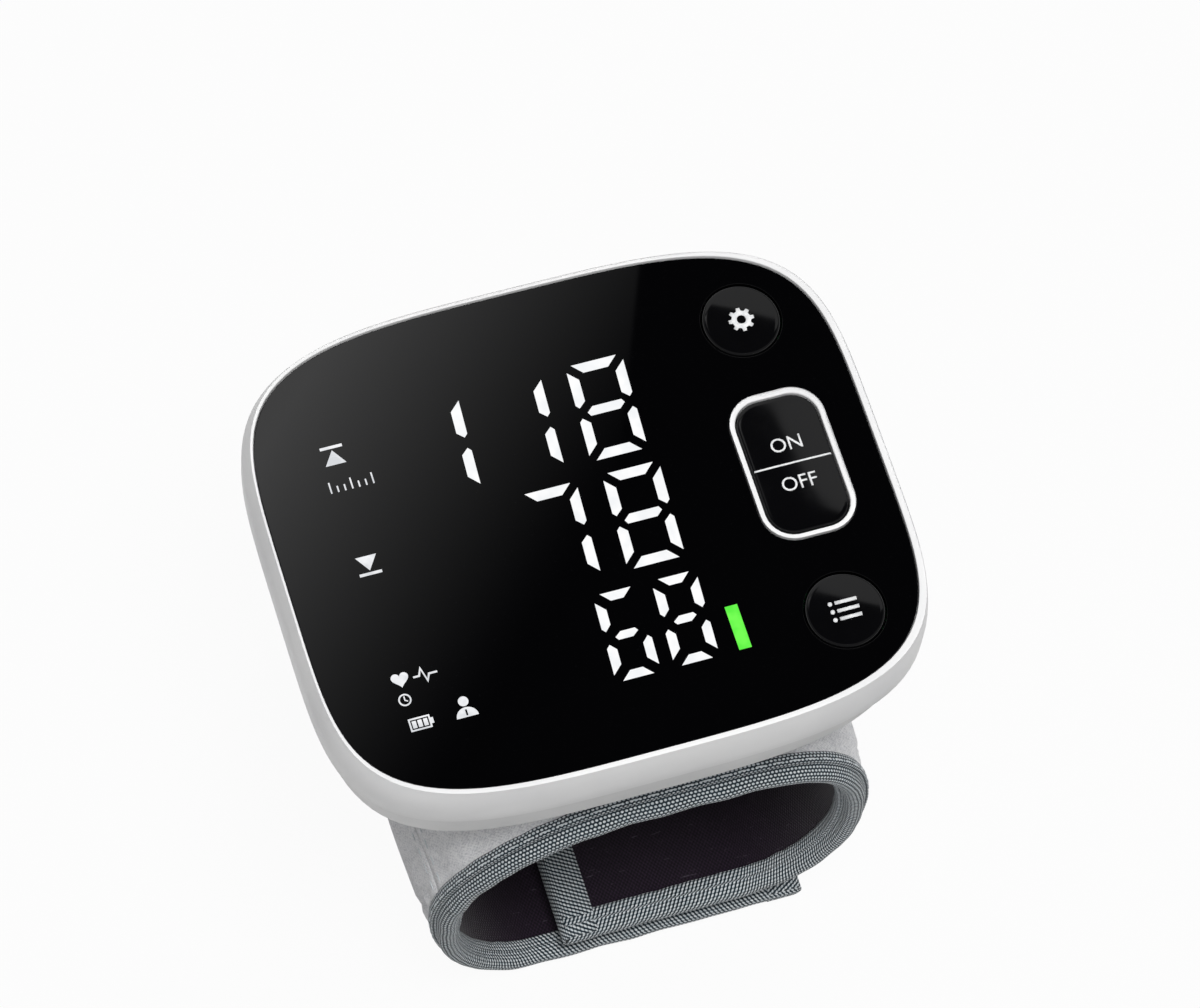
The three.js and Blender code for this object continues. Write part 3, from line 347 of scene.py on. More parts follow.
def turn_sheet(bm, face, way):
    """Turns a sheet over unless one of its faces looks a given way."""
    if face.normal.dot(way) < 0:
        bmesh.ops.reverse_faces(bm, faces=bm.faces[:])


def soften(bm, edges, size, segments):
    bmesh.ops.bevel(
        bm, geom=edges, offset=size, offset_type="OFFSET", segments=segments, profile=0.5,
        affect="EDGES", material=-1, clamp_overlap=True,
    )


def islands(bm):
    """The faces of a bmesh, as lists that hang together."""
    left = set(bm.faces)
    while left:
        island = [left.pop()]
        for face in island:
            for near in {near for edge in face.edges for near in edge.link_faces} & left:
                left.remove(near)
                island.append(near)
        yield island


def swept_volume(faces):
    """Six times the volume inside closed faces, below 0 where they face inwards."""
    total = 0
    for face in faces:
        corner = face.verts[0].co
        for near, far in zip(face.verts[1:], face.verts[2:]):
            total += corner.dot(near.co.cross(far.co))
    return total


def face_outwards(bm):
    bmesh.ops.remove_doubles(bm, verts=bm.verts[:], dist=1e-4)
    bmesh.ops.recalc_face_normals(bm, faces=bm.faces[:])
    for island in islands(bm):
        if swept_volume(island) < 0:
            bmesh.ops.reverse_faces(bm, faces=island)


def to_object(name, bm, closed=True):
    """A new object from a bmesh, still in millimetres."""
    if closed:
        face_outwards(bm)
    mesh = bpy.data.meshes.new(name)
    bm.to_mesh(mesh)
    bm.free()
    piece = bpy.data.objects.new(name, mesh)
    bpy.context.collection.objects.link(piece)
    return piece


def solid(name, build, *details):
    """A new object of one shape, such as a loft, a prism or a block."""
    bm = bmesh.new()
    build(bm, *details)
    return to_object(name, bm)


def mesh_of(holder):
    """A new mesh of an object with its modifiers."""
    depsgraph = bpy.context.evaluated_depsgraph_get()
    return bpy.data.meshes.new_from_object(holder.evaluated_get(depsgraph))


def carve(piece, tool, operation="DIFFERENCE", keep_tool=False):
    """Cuts, joins or trims a piece with a second object."""
    modifier = piece.modifiers.new("carve", "BOOLEAN")
    modifier.operation = operation
    modifier.solver = "EXACT"
    modifier.object = tool
    carved = mesh_of(piece)
    piece.modifiers.clear()
    spent = piece.data
    piece.data = carved
    bpy.data.meshes.remove(spent)
    if not keep_tool:
        bpy.data.objects.remove(tool)


def twin(piece):
    copy = piece.copy()
    copy.data = piece.data.copy()
    bpy.context.collection.objects.link(copy)
    return copy


def thicken(piece, thickness):
    """Gives a sheet its thickness behind its face."""
    modifier = piece.modifiers.new("thickness", "SOLIDIFY")
    modifier.thickness = thickness * MM
    modifier.offset = -1


def round_edges(piece, size):
    modifier = piece.modifiers.new("edges", "BEVEL")
    modifier.width = size * MM
    modifier.segments = 2
    modifier.limit_method = "ANGLE"
    modifier.angle_limit = math.radians(40)
    modifier.harden_normals = True


def dress(piece, finish, body, nodes=(), crease=35):
    """Brings a piece to metres, gives it its finish, hangs it on its body unless that is the fold, and
    hides the solids that it stands for.
    """
    piece.data.transform(Matrix.Scale(MM, 4))
    piece.data.materials.clear()
    piece.data.materials.append(finish.material)
    piece.data.shade_smooth()
    piece.data.set_sharp_from_angle(angle=math.radians(crease))
    if body == "fold":
        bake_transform(piece)
    else:
        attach(piece, body)
    if nodes:
        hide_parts(*nodes)
    return piece


# Finishes
def tint(code):
    """A colour for the shaders from a six figure hex code."""
    channels = [int(code[i:i + 2], 16) / 255 for i in (0, 2, 4)]
    return (*(c / 12.92 if c <= 0.04045 else ((c + 0.055) / 1.055) ** 2.4 for c in channels), 1)


class Value:
    """A number on a node's output. Sums on it add Math nodes to its finish."""

    def __init__(self, finish, socket):
        self.finish = finish
        self.socket = socket

    def maths(self, operation, *terms):
        return self.finish.node("ShaderNodeMath", {"operation": operation}, dict(enumerate(terms)))

    def __add__(self, other):
        return self.maths("ADD", self, other)

    def __radd__(self, other):
        return self.maths("ADD", other, self)

    def __sub__(self, other):
        return self.maths("SUBTRACT", self, other)

    def __rsub__(self, other):
        return self.maths("SUBTRACT", other, self)

    def __mul__(self, other):
        return self.maths("MULTIPLY", self, other)

    def __rmul__(self, other):
        return self.maths("MULTIPLY", other, self)

    def __truediv__(self, other):
        return self.maths("DIVIDE", self, other)

    def __pow__(self, other):
        return self.maths("POWER", self, other)

    def floor(self):
        return self.maths("FLOOR", self)

    def fraction(self):
        return self.maths("FRACT", self)

    def size(self):
        return self.maths("ABSOLUTE", self)

    def sine(self):
        return self.maths("SINE", self)

    def least(self, other):
        return self.maths("MINIMUM", self, other)

    def most(self, other):
        return self.maths("MAXIMUM", self, other)

    def between(self, low, high):
        """Rises softly from 0 at low to 1 at high."""
        sockets = {"Value": self, "From Min": low, "From Max": high}
        return self.finish.node("ShaderNodeMapRange", {"interpolation_type": "SMOOTHSTEP"}, sockets)


class Finish:
    """A material of nodes round one Principled shader."""

    def __init__(self, name, **constants):
        self.material = bpy.data.materials.new(name)
        self.material.use_nodes = True
        self.tree = self.material.node_tree
        self.shader = self.tree.nodes["Principled BSDF"]
        for label, value in constants.items():
            self.shader.inputs[label.replace("_", " ").title()].default_value = value

    def node(self, kind, settings=None, sockets=None, output=0):
        """Adds a node: its settings first, then values or links for its sockets."""
        made = self.tree.nodes.new(kind)
        for label, value in (settings or {}).items():
            setattr(made, label, value)
        for label, value in (sockets or {}).items():
            self.plug(self.socket(made.inputs, label), value)
        return Value(self, self.socket(made.outputs, output))

    def socket(self, sockets, label):
        if isinstance(label, int):
            return sockets[label]
        return next(s for s in sockets if label in (s.identifier, s.name) and s.enabled)

    def plug(self, socket, value):
        """Links a value to a socket, or sets the socket to a number or to a colour's hex code."""
        if isinstance(value, Value):
            self.tree.links.new(value.socket, socket)
        else:
            socket.default_value = tint(value) if isinstance(value, str) else value

    def set(self, label, value):
        self.plug(self.shader.inputs[label], value)

    def surface(self, shader):
        """Shows another shader in place of the Principled one."""
        self.plug(self.tree.nodes["Material Output"].inputs["Surface"], shader)

    def spot(self, stretch=(1, 1, 1)):
        """The place on the object in millimetres, stretched along each axis."""
        place = self.node("ShaderNodeTexCoord", output="Object")
        scale = [s / MM for s in stretch]
        return self.node("ShaderNodeVectorMath", {"operation": "MULTIPLY"}, {0: place, 1: scale})

    def cloth_spot(self):
        """Distance along and across a strip of cloth, in millimetres."""
        place = {"Vector": self.node("ShaderNodeUVMap", {"uv_map": "cloth"})}
        return [self.node("ShaderNodeSeparateXYZ", None, place, axis) for axis in "XY"]

    def vector(self, x, y):
        return self.node("ShaderNodeCombineXYZ", None, {"X": x, "Y": y})

    def speckle(self, size, detail=2, place=None, rough=0.5):
        """Soft noise with spots of about a size in millimetres."""
        place = place or self.spot()
        sockets = {"Vector": place, "Scale": 1 / size, "Detail": detail, "Roughness": rough}
        return self.node("ShaderNodeTexNoise", None, sockets)

    def mix(self, share, first, second):
        sockets = {"Factor_Float": share, "A_Color": first, "B_Color": second}
        return self.node("ShaderNodeMix", {"data_type": "RGBA"}, sockets, "Result_Color")

    def wear(self, colour, roughness, height=None, depth=0, strength=1.0):
        """Takes a colour, a roughness and a relief of up to a depth in millimetres."""
        self.set("Base Color", colour)
        self.set("Roughness", roughness)
        if height:
            sockets = {"Height": height, "Distance": depth * MM, "Strength": strength}
            self.set("Normal", self.node("ShaderNodeBump", None, sockets))
        return self


def moulded(name, light, dark, roughness, grain_size, grain_depth):
    """Moulded plastic with a slow change of tone and a fine grain."""
    look = Finish(name)
    cloud = look.speckle(14, 3)
    grain = look.speckle(grain_size)
    colour = look.mix(cloud.between(0.3, 0.75), light, dark)
    uneven = roughness + 0.12 * (cloud - 0.5) + 0.08 * (grain - 0.5)
    return look.wear(colour, uneven, grain, grain_depth)


def black_gloss():
    """Polished black panel with faint wipe marks."""
    look = Finish("black_gloss")
    wipe = look.speckle(9, 4, look.spot((0.5, 1.6, 1)), 0.6)
    dust = look.speckle(0.35, 1)
    colour = look.mix(dust.between(0.72, 0.8), "040405", "0b0b0d")
    return look.wear(colour, 0.015 + 0.05 * wipe.between(0.55, 0.85))


def key_gloss():
    look = Finish("key_gloss")
    wipe = look.speckle(5, 4)
    return look.wear(look.mix(wipe, "060607", "0a0a0c"), 0.06 + 0.05 * wipe.between(0.5, 0.85))


def lit(name, bright, dim):
    """Glowing mark behind black gloss, a little uneven in brightness."""
    look = Finish(name, emission_strength=1.0)
    glow = look.speckle(2.2)
    look.set("Emission Color", look.mix(glow.between(0.3, 0.7), dim, bright))
    return look.wear(look.mix(glow, "101012", "16161a"), 0.1)


def printed(name, light, dark):
    look = Finish(name)
    ink = look.speckle(0.4, 3)
    return look.wear(look.mix(ink.between(0.35, 0.7), dark, light), 0.4 + 0.2 * ink)


def knit(along, across, length, width):
    """Height of knitted loops of a length and a width."""
    waves = (along * (2 * math.pi / length)).sine() * (across * (2 * math.pi / width)).sine()
    return waves * 0.5 + 0.5


def brick(along, across, length, width, shift=0):
    """Place in the cells of a brick pattern, from -0.5 to 0.5 along and across a cell."""
    row = across / width
    return (along / length + row.floor() * 0.5 + shift).fraction() - 0.5, row.fraction() - 0.5


def oval(x, y, half_length, half_width, inner, outer):
    """1 within an oval and 0 outside it, with a soft edge."""
    return 1 - ((x / half_length) ** 2 + (y / half_width) ** 2).between(inner, outer)


def brushed_loop(name, light, middle, dark):
    """Brushed loop cloth: a short matted pile on a fine knit."""
    look = Finish(name, sheen_weight=0.25, sheen_roughness=0.45)
    along, across = look.cloth_spot()
    flat = look.vector(along, across)
    fibre = look.speckle(0.22, 3, look.vector(along * 0.6, across), 0.65)
    tuft = look.speckle(0.9, 3, flat, 0.6)
    cloud = look.speckle(7, 3, flat)
    lint = look.speckle(0.5, 2, look.vector(along * 0.35, across * 1.5), 0.7).between(0.62, 0.75)
    pile = fibre * 0.55 + tuft * 0.35 + knit(along, across, 0.62, 0.5) * 0.1
    tone = look.mix(pile.between(0.34, 0.62), dark, middle)
    tone = look.mix((pile * 0.85 + cloud * 0.15).between(0.42, 0.62), tone, light)
    return look.wear(look.mix(lint * 0.35, tone, "f4f4f6"), 0.82 + 0.14 * tuft, pile, 0.28, 0.8)


DOT_PITCH = 0.6
DOT_ROW = 0.5


def woven_tape(name, pale, silver, ground_light, ground_dark):
    """Edge tape: pale dots in brick rows on a dark ground, drawn out into slanted dashes past the fold."""
    look = Finish(name, sheen_weight=0.15, sheen_roughness=0.4)
    along, around = look.cloth_spot()
    flat = look.vector(along, around)
    wander = look.speckle(3, 2, flat)
    x, y = brick(along, around, DOT_PITCH, DOT_ROW, wander * 0.25)
    dots = oval(x, y, 0.42, 0.4, 0.3, 1.1)
    slant = ((along + around * 0.6) / DOT_PITCH + wander * 0.3).fraction() - 0.5
    dashes = oval(slant, y, 0.36, 0.56, 0.25, 1.1)
    lower = around.between(TAPE_REACH + 1.2, TAPE_REACH + 1.8)
    weave = dots * (1 - lower) + dashes * lower
    thread = look.speckle(0.3, 3, flat, 0.6)
    bright = look.mix(thread.between(0.3, 0.65), silver, pale)
    ground = look.mix(look.speckle(6, 2, flat), ground_dark, ground_light)
    colour = look.mix(weave * (0.8 + 0.2 * thread), ground, bright)
    return look.wear(colour, 0.62 + 0.25 * thread, weave * 0.8 + thread * 0.2, 0.16, 0.9)


def knit_lining():
    """Dark plum lining of fine knit with pale lint on it."""
    look = Finish("lining_fabric", sheen_weight=0.2, sheen_roughness=0.5)
    along, across = look.cloth_spot()
    flat = look.vector(along, across)
    fuzz = look.speckle(0.4, 3, flat, 0.65)
    lint = look.speckle(0.8, 2, look.vector(along * 0.25, across * 2.2), 0.7).between(0.66, 0.72)
    loops = knit(along, across, 0.55, 0.7) * 0.6 + fuzz * 0.4
    tone = look.mix(look.speckle(9, 2, flat), "241b28", "3a2c3d")
    tone = look.mix(loops.between(0.35, 0.75), "151017", tone)
    return look.wear(look.mix(lint * 0.22, tone, "8f8795"), 0.85 + 0.1 * fuzz, loops, 0.15)


def hook_tape():
    """Fastening patch: rows of tiny stiff hooks."""
    look = Finish("hook_tape")
    along, across = look.cloth_spot()
    hooks = oval(*brick(along, across, 0.7, 0.55), 0.3, 0.42, 0.2, 1)
    fuzz = look.speckle(0.5, 2, look.vector(along, across))
    colour = look.mix(hooks * (0.5 + 0.5 * fuzz), "17181b", "54565c")
    return look.wear(colour, 0.45 + 0.3 * fuzz, hooks, 0.25)


def sewing_thread():
    look = Finish("thread", sheen_weight=0.2)
    twist = look.speckle(0.16, 2, look.spot((1, 2, 1)))
    return look.wear(look.mix(twist, "bcc5cb", "eef1f3"), 0.6 + 0.2 * twist, twist, 0.05)


def metal(name, light, dark, roughness):
    look = Finish(name, metallic=1.0)
    grain = look.speckle(1.2, 4, look.spot((1, 0.15, 1)), 0.6)
    colour = look.mix(look.speckle(4, 3), dark, light)
    return look.wear(colour, roughness + 0.15 * (grain - 0.5), grain, 0.01)


def circuit_board():
    """Green board with darker resist between faint copper tracks."""
    look = Finish("board_green", coat_roughness=0.2)
    tracks = look.node("ShaderNodeTexBrick", {"offset": 0.5}, {
        "Vector": look.spot(), "Scale": 0.35, "Mortar Size": 0.06,
        "Color1": "0d3a22", "Color2": "0b3320", "Mortar": "1f6a3c",
    })
    dust = look.speckle(3, 3)
    return look.wear(look.mix(dust * 0.3, tracks, "14472b"), 0.28 + 0.15 * dust, dust, 0.01)


def cell_wrap():
    """Printed sleeve of a dry cell: deep blue, with a bare metal rim and a pale ring at each end."""
    look = Finish("cell_can")
    end = look.node("ShaderNodeSeparateXYZ", None, {"Vector": look.spot()}, "Y").size()
    bare = end.between(CELL_SLEEVE, CELL_SLEEVE + 0.1)
    past_start = end.between(CELL_SLEEVE - 3.6, CELL_SLEEVE - 3.5)
    past_stop = end.between(CELL_SLEEVE - 2.7, CELL_SLEEVE - 2.6)
    gloss = look.speckle(6, 3)
    sleeve = look.mix(past_start * (1 - past_stop), look.mix(gloss, "16305c", "1e3f78"), "d9dde3")
    look.set("Metallic", bare * 0.9)
    colour = look.mix(bare, sleeve, "c9ced6")
    return look.wear(colour, 0.28 + 0.15 * gloss, look.speckle(0.8), 0.01)


WHITE = moulded("white_plastic", "f1f1f1", "e9e9ea", 0.36, 0.25, 0.004)
REAR_WHITE = moulded("rear_plastic", "e6e6e6", "dedede", 0.5, 0.4, 0.02)
GLOSS = black_gloss()
KEY_BLACK = key_gloss()
RING_WHITE = moulded("ring_white", "f4f4f4", "eaeaeb", 0.3, 0.2, 0.003)
DIGIT_GLOW = lit("digit_glow", "ffffff", "f3f5f7")
CHARGE_GLOW = lit("charge_glow", "74ff52", "58f040")
LABEL_GLOW = lit("label_glow", "f4f5f7", "d6d9dd")
KEY_INK = printed("key_ink", "fafafa", "e6e8ea")
CLOTH_GREY = brushed_loop("cuff_fabric", "fafafb", "f1f1f4", "d3d4d8")
TAPE = woven_tape("binding_tape", "f8fbfd", "c6d3da", "263842", "111b21")
LINING = knit_lining()
HOOKS = hook_tape()
THREAD = sewing_thread()
SLOT_FINISHES = {
    "white_plastic": WHITE,
    "black_plastic": moulded("black_plastic", "1b1b1c", "121213", 0.45, 0.3, 0.015),
    "board_green": circuit_board(),
    "diffuser_white": moulded("diffuser_white", "eceae2", "dedbd0", 0.5, 0.5, 0.01),
    "cell_can": cell_wrap(),
    "steel": metal("steel", "c9cbcc", "a9abad", 0.3),
    "brass": metal("brass", "d8b465", "b08a3e", 0.28),
    "grey_rubber": moulded("grey_rubber", "77787a", "5f6062", 0.75, 0.5, 0.03),
    "silicone": moulded("silicone", "d6d8d4", "c3c6c2", 0.4, 0.8, 0.01),
    "cuff_fabric": CLOTH_GREY,
    "lining_fabric": LINING,
    "binding_tape": TAPE,
    "black_gloss": GLOSS,
    "ring_white": RING_WHITE,
}


def finish_inner_solids():
    """Gives every solid that stays its own finish."""
    slots = {part["node"]: part["material_slot"] for part in frame["record"]["subparts"]}
    for name, node in frame["nodes"].items():
        node.data.materials.clear()
        node.data.materials.append(SLOT_FINISHES[slots[name]].material)


# Camera, floor and light
CAMERA_PLACE = Vector((-116.54, -249.58, 661.77))
CAMERA_RIGHT = Vector((0.9523, -0.2981, 0.0653))
CAMERA_BACK = Vector((-0.1826, -0.3851, 0.9046))
CAMERA_LENS = 150


def add_camera():
    data = bpy.data.cameras.new("camera")
    data.lens = CAMERA_LENS
    data.clip_start = 0.01
    camera = bpy.data.objects.new("camera", data)
    back = CAMERA_BACK.normalized()
    up = back.cross(CAMERA_RIGHT).normalized()
    turn = Matrix((up.cross(back), up, back)).transposed().to_4x4()
    camera.matrix_world = Matrix.Translation(CAMERA_PLACE * MM) @ turn
    bpy.context.collection.objects.link(camera)
    bpy.context.scene.camera = camera


SWEEP_RADIUS = 2200
SWEEP_HEIGHT = 700
SWEEP_CURVE = 500
SWEEP_STEPS = 8
SWEEP_SIDES = 64
SWEEP_HOLE = 1
FLOOR_GLOW = 0.95


def stage_object(name, bm, look):
    """An object of the studio, brought to metres."""
    prop = to_object(name, bm, closed=False)
    prop.data.transform(Matrix.Scale(MM, 4))
    prop.data.materials.append(look.material)
    return prop


def seen(look):
    """1 where the floor is looked at, straight or in a reflection, and 0 where it lights the object."""
    rays = ("Is Camera Ray", "Is Glossy Ray", "Is Transmission Ray")
    straight, mirrored, through = (look.node("ShaderNodeLightPath", output=ray) for ray in rays)
    return straight.most(mirrored).most(through)


def studio_white():
    look = Finish("studio_white", roughness=0.9)
    look.set("Base Color", look.mix(look.speckle(300), "bebebe", "c4c4c4"))
    glow = look.node("ShaderNodeEmission", None, {"Color": "ffffff", "Strength": 1.0}, "Emission")
    lit_floor = Value(look, look.shader.outputs[0])
    shown = {0: seen(look) * FLOOR_GLOW, 1: lit_floor, 2: glow}
    look.surface(look.node("ShaderNodeMixShader", None, shown))
    return look


def add_studio():
    """A pale floor that curves up into a wall all round."""
    bm = bmesh.new()
    profile = [Vector((SWEEP_HOLE, 0, 0)), Vector((SWEEP_RADIUS - SWEEP_CURVE, 0, 0))]
    for step in range(1, SWEEP_STEPS + 1):
        turn = math.pi / 2 * step / SWEEP_STEPS
        out = SWEEP_RADIUS - SWEEP_CURVE * (1 - math.sin(turn))
        profile.append(Vector((out, 0, SWEEP_CURVE * (1 - math.cos(turn)))))
    profile.append(Vector((SWEEP_RADIUS, 0, SWEEP_HEIGHT)))
    verts = [bm.verts.new(point) for point in profile]
    edges = [bm.edges.new(pair) for pair in zip(verts, verts[1:])]
    bmesh.ops.spin(
        bm, geom=verts + edges, cent=(0, 0, 0), axis=(0, 0, 1), angle=2 * math.pi, steps=SWEEP_SIDES,
        use_merge=True,
    )
    rim = [edge for edge in bm.edges if edge.is_boundary and edge.verts[0].co.length < 2 * SWEEP_HOLE]
    bmesh.ops.edgeloop_fill(bm, edges=rim)
    bmesh.ops.recalc_face_normals(bm, faces=bm.faces[:])
    turn_sheet(bm, lowest_face(bm), Vector((0, 0, 1)))
    sweep = stage_object("studio_sweep", bm, studio_white())
    sweep.data.shade_smooth()


CARD_RISE = 2000
CARD_LEFT, CARD_RIGHT = -220, 220
CARD_LOW, CARD_HIGH = -200, 700
CARD_MOST = 2
CARD_GLOW = 1.2
CARD_EDGE_TOP = Vector((17.7, 32.9))
CARD_EDGE_LOW = Vector((12.9, 21.4))
CARD_EDGE_SOFT = 0.4
CARD_FADE_END = 4
CARD_FADE_LENGTH = 62
CARD_FADE_POWER = 1.8
CARD_FRAME_LEFT = -45
CARD_FRAME_TOP = 37
CARD_FRAME_SOFT = 2
KEY_GLOW = 0.52
KEY_GLOW_TOP = 48
KEY_GLOW_SIDE = 44.5
KEY_GLOW_SLOPE = 0.45
KEY_GLOW_BEND = 9
KEY_GLOW_LOW = -17


def card_glow():
    """Light of the card: a fade with one straight edge for the panel, and two bright sides for the keys."""
    look = Finish("reflector_card")
    x, y = look.cloth_spot()
    fade = ((CARD_FADE_END - x + y) / CARD_FADE_LENGTH).most(0).least(1) ** CARD_FADE_POWER
    slope = (CARD_EDGE_TOP.x - CARD_EDGE_LOW.x) / (CARD_EDGE_TOP.y - CARD_EDGE_LOW.y)
    beyond = x - (CARD_EDGE_LOW.x - slope * CARD_EDGE_LOW.y) - y * slope
    inside = 1 - beyond.between(-CARD_EDGE_SOFT, CARD_EDGE_SOFT)
    right_of = x.between(CARD_FRAME_LEFT - CARD_FRAME_SOFT, CARD_FRAME_LEFT)
    below = 1 - y.between(CARD_FRAME_TOP, CARD_FRAME_TOP + CARD_FRAME_SOFT)
    above = y.between(KEY_GLOW_TOP, KEY_GLOW_TOP + 8)
    side = x + y.most(-KEY_GLOW_BEND).least(KEY_GLOW_BEND) * KEY_GLOW_SLOPE
    beside = side.between(KEY_GLOW_SIDE, KEY_GLOW_SIDE + 3) * y.between(KEY_GLOW_LOW - 6, KEY_GLOW_LOW)
    glow = fade * inside * right_of * below * CARD_GLOW + above.most(beside) * KEY_GLOW
    lights = {"Color": look.mix(glow / CARD_MOST, "000000", "ffffff"), "Strength": CARD_MOST}
    look.surface(look.node("ShaderNodeEmission", None, lights, "Emission"))
    return look


def add_reflector():
    """A far card that only glossy faces see, drawn as it shows in the panel."""
    height = CAMERA_PLACE.z - FACE
    mirrored = Vector((*CAMERA_PLACE.xy, FACE - height))
    stretch = (height + CARD_RISE) / height

    def place(u, v):
        x = CARD_LEFT + (CARD_RIGHT - CARD_LEFT) * u
        y = CARD_LOW + (CARD_HIGH - CARD_LOW) * v
        return mirrored + (Vector((x, y, FACE)) - mirrored) * stretch, (x, y)

    card = stage_object("reflector_card", cloth_grid(4, 4, place), card_glow())
    card.visible_camera = False
    card.visible_diffuse = False
    card.visible_transmission = False
    card.visible_shadow = False


# Place, size and power of each lamp, in metres and watts
LAMPS = {
    "key": (Vector((0.05, -0.24, 1.1)), 0.45, 8.5),
    "left": (Vector((-0.55, -0.5, 0.85)), 0.25, 0.8),
    "rear": (Vector((0.5, 0.75, 0.75)), 0.4, 3.2),
}
LAMP_AIM = Vector((0, 0, 0.04))
WORLD_LIGHT = 0.18


def add_light():
    world = bpy.data.worlds.new("studio")
    world.use_nodes = True
    backdrop = world.node_tree.nodes["Background"]
    backdrop.inputs["Color"].default_value = (1, 1, 1, 1)
    backdrop.inputs["Strength"].default_value = WORLD_LIGHT
    bpy.context.scene.world = world
    for name, (place, size, power) in LAMPS.items():
        data = bpy.data.lights.new(name, "AREA")
        data.shape = "DISK"
        data.size = size
        data.energy = power
        lamp = bpy.data.objects.new(name, data)
        lamp.location = place
        lamp.rotation_euler = (LAMP_AIM - place).to_track_quat("-Z", "Y").to_euler()
        lamp.visible_glossy = False
        bpy.context.collection.objects.link(lamp)
    bpy.context.scene.view_settings.view_transform = "Standard"


# Body pieces
def flared_wall():
    """Loops of the bezel's wall: it swells from the narrow lip to its full width, then falls straight."""
    lip = [Vector(point) + LIP_SHIFT for point in body_outline(LIP_GROWTH)]
    full = [Vector(point) for point in body_outline(RIM_WIDTH)]
    for step in range(FLARE_STEPS + 1):
        sunk = step / FLARE_STEPS
        share = 1 - (1 - sunk) ** 2
        loop = [near.lerp(far, share) for near, far in zip(lip, full)]
        yield loop, FACE + LIP_RISE - FLARE_DEPTH * sunk
    yield full, FACE - BEZEL_DEPTH


def make_bezel():
    """White frame round the panel: a narrow lip, a tall wall and the ledge that the panel sits on."""
    bm = bmesh.new()
    ledge_top = FACE - PANEL_THICKNESS - PANEL_SEAT
    ledge_bottom = ledge_top - LEDGE_THICKNESS
    wall = list(flared_wall())
    loops = loft(bm, [
        (body_outline(PANEL_FIT), ledge_top),
        (body_outline(PANEL_FIT), FACE + LIP_RISE),
        *wall,
        (body_outline(RIM_WIDTH - WALL), FACE - BEZEL_DEPTH),
        (body_outline(RIM_WIDTH - WALL), ledge_bottom),
        (body_outline(-LEDGE_WIDTH), ledge_bottom),
        (body_outline(-LEDGE_WIDTH), ledge_top),
    ], closed=True)
    inner_lip, outer_lip, foot = (edges_of(bm, loops[i]) for i in (1, 2, 1 + len(wall)))
    soften(bm, outer_lip, LIP_ROUND, 3)
    soften(bm, inner_lip, LIP_INNER_ROUND, 3)
    soften(bm, foot, BEZEL_FOOT_ROUND, 2)
    dress(to_object("bezel", bm), WHITE, "monitor", ["front_bezel"])


def make_panel():
    keys = [centre_of("set_key"), centre_of("memory_key")]
    holes = [disc(*key.xy, KEY_ROUND_RADIUS + KEY_GAP) for key in keys]
    bm = flat_sheet([body_outline(0), start_outline(RING_WIDTH + RING_GAP), *holes], FACE)
    panel = to_object("panel", bm, closed=False)
    dress(panel, GLOSS, "monitor", ["front_panel"])
    thicken(panel, PANEL_THICKNESS)
    round_edges(panel, PANEL_EDGE_ROUND)


def round_top(centre):
    """Height of a round key's top at a place: it falls away to both sides of its middle line."""
    def height(x, y):
        out = (Vector((x, y)) - centre.xy).dot(KEY_FALL) / KEY_ROUND_RADIUS
        return FACE + KEY_RISE - KEY_CROWN * out * out
    return height


def start_top(x, y):
    """Height of the long key's top at a place: curved across, flat along and tilted to the right."""
    across = (x - START_CENTRE.x) / START_HALF_WIDTH
    along = (y - START_CENTRE.y) / START_HALF_HEIGHT
    swell = max(0, 1 - across * across) * max(0, 1 - along ** 4)
    return FACE + START_RISE - START_CROWN * (1 - swell) - START_TILT * across


def start_cap_outline(growth):
    return start_outline(growth - KEY_GAP)


def start_spine(point):
    """The nearest point on the long key's middle line."""
    reach = START_HALF_HEIGHT - START_HALF_WIDTH
    y = min(max(point.y, START_CENTRE.y - reach), START_CENTRE.y + reach)
    return Vector((START_CENTRE.x, y))


def crowned_key(name, outline, spine, top, rim):
    """A key cap: a straight skirt, a rounded edge and a slightly domed top that closes on a short spine."""
    bm = bmesh.new()
    levels = [(outline(0), -PANEL_THICKNESS - KEY_SKIRT)]
    for step in range(KEY_EDGE_STEPS + 1):
        turn = math.pi / 2 * step / KEY_EDGE_STEPS
        levels.append((outline(-rim * (1 - math.cos(turn))), -rim * (1 - math.sin(turn))))
    edge = [Vector(point) for point in levels[-1][0]]
    for step in range(1, KEY_TOP_STEPS + 1):
        share = KEY_TOP_REACH * step / KEY_TOP_STEPS
        levels.append(([point.lerp(spine(point), share) for point in edge], 0))
    loops = loft(bm, levels)
    for vert in loops[0]:
        vert.co.z += FACE
    for verts in loops[1:]:
        for vert in verts:
            vert.co.z += top(vert.co.x, vert.co.y)
    return to_object(name, bm)


def make_keys():
    for name in ("set", "memory"):
        centre = centre_of(f"{name}_key")
        key = crowned_key(
            f"{name}_cap", round_outline(centre), lambda point: centre.xy, round_top(centre), ROUND_EDGE,
        )
        dress(key, KEY_BLACK, f"{name}_button", [f"{name}_key"])
    key = crowned_key("start_cap", start_cap_outline, start_spine, start_top, START_EDGE)
    dress(key, KEY_BLACK, "start_button", ["start_stop_key"])


def make_start_ring():
    bm = bmesh.new()
    ring_top = FACE + RING_RISE
    loops = loft(bm, [
        (start_outline(RING_PLAY), FACE - PANEL_THICKNESS),
        (start_outline(RING_PLAY), ring_top),
        (start_outline(RING_WIDTH), ring_top),
        (start_outline(RING_WIDTH), FACE - PANEL_THICKNESS),
    ], closed=True)
    inner, outer = edges_of(bm, loops[1]), edges_of(bm, loops[2])
    soften(bm, outer, RING_OUTER_ROUND, 4)
    soften(bm, inner, RING_INNER_ROUND, 4)
    dress(to_object("start_ring", bm), RING_WHITE, "monitor", ["start_stop_ring"])


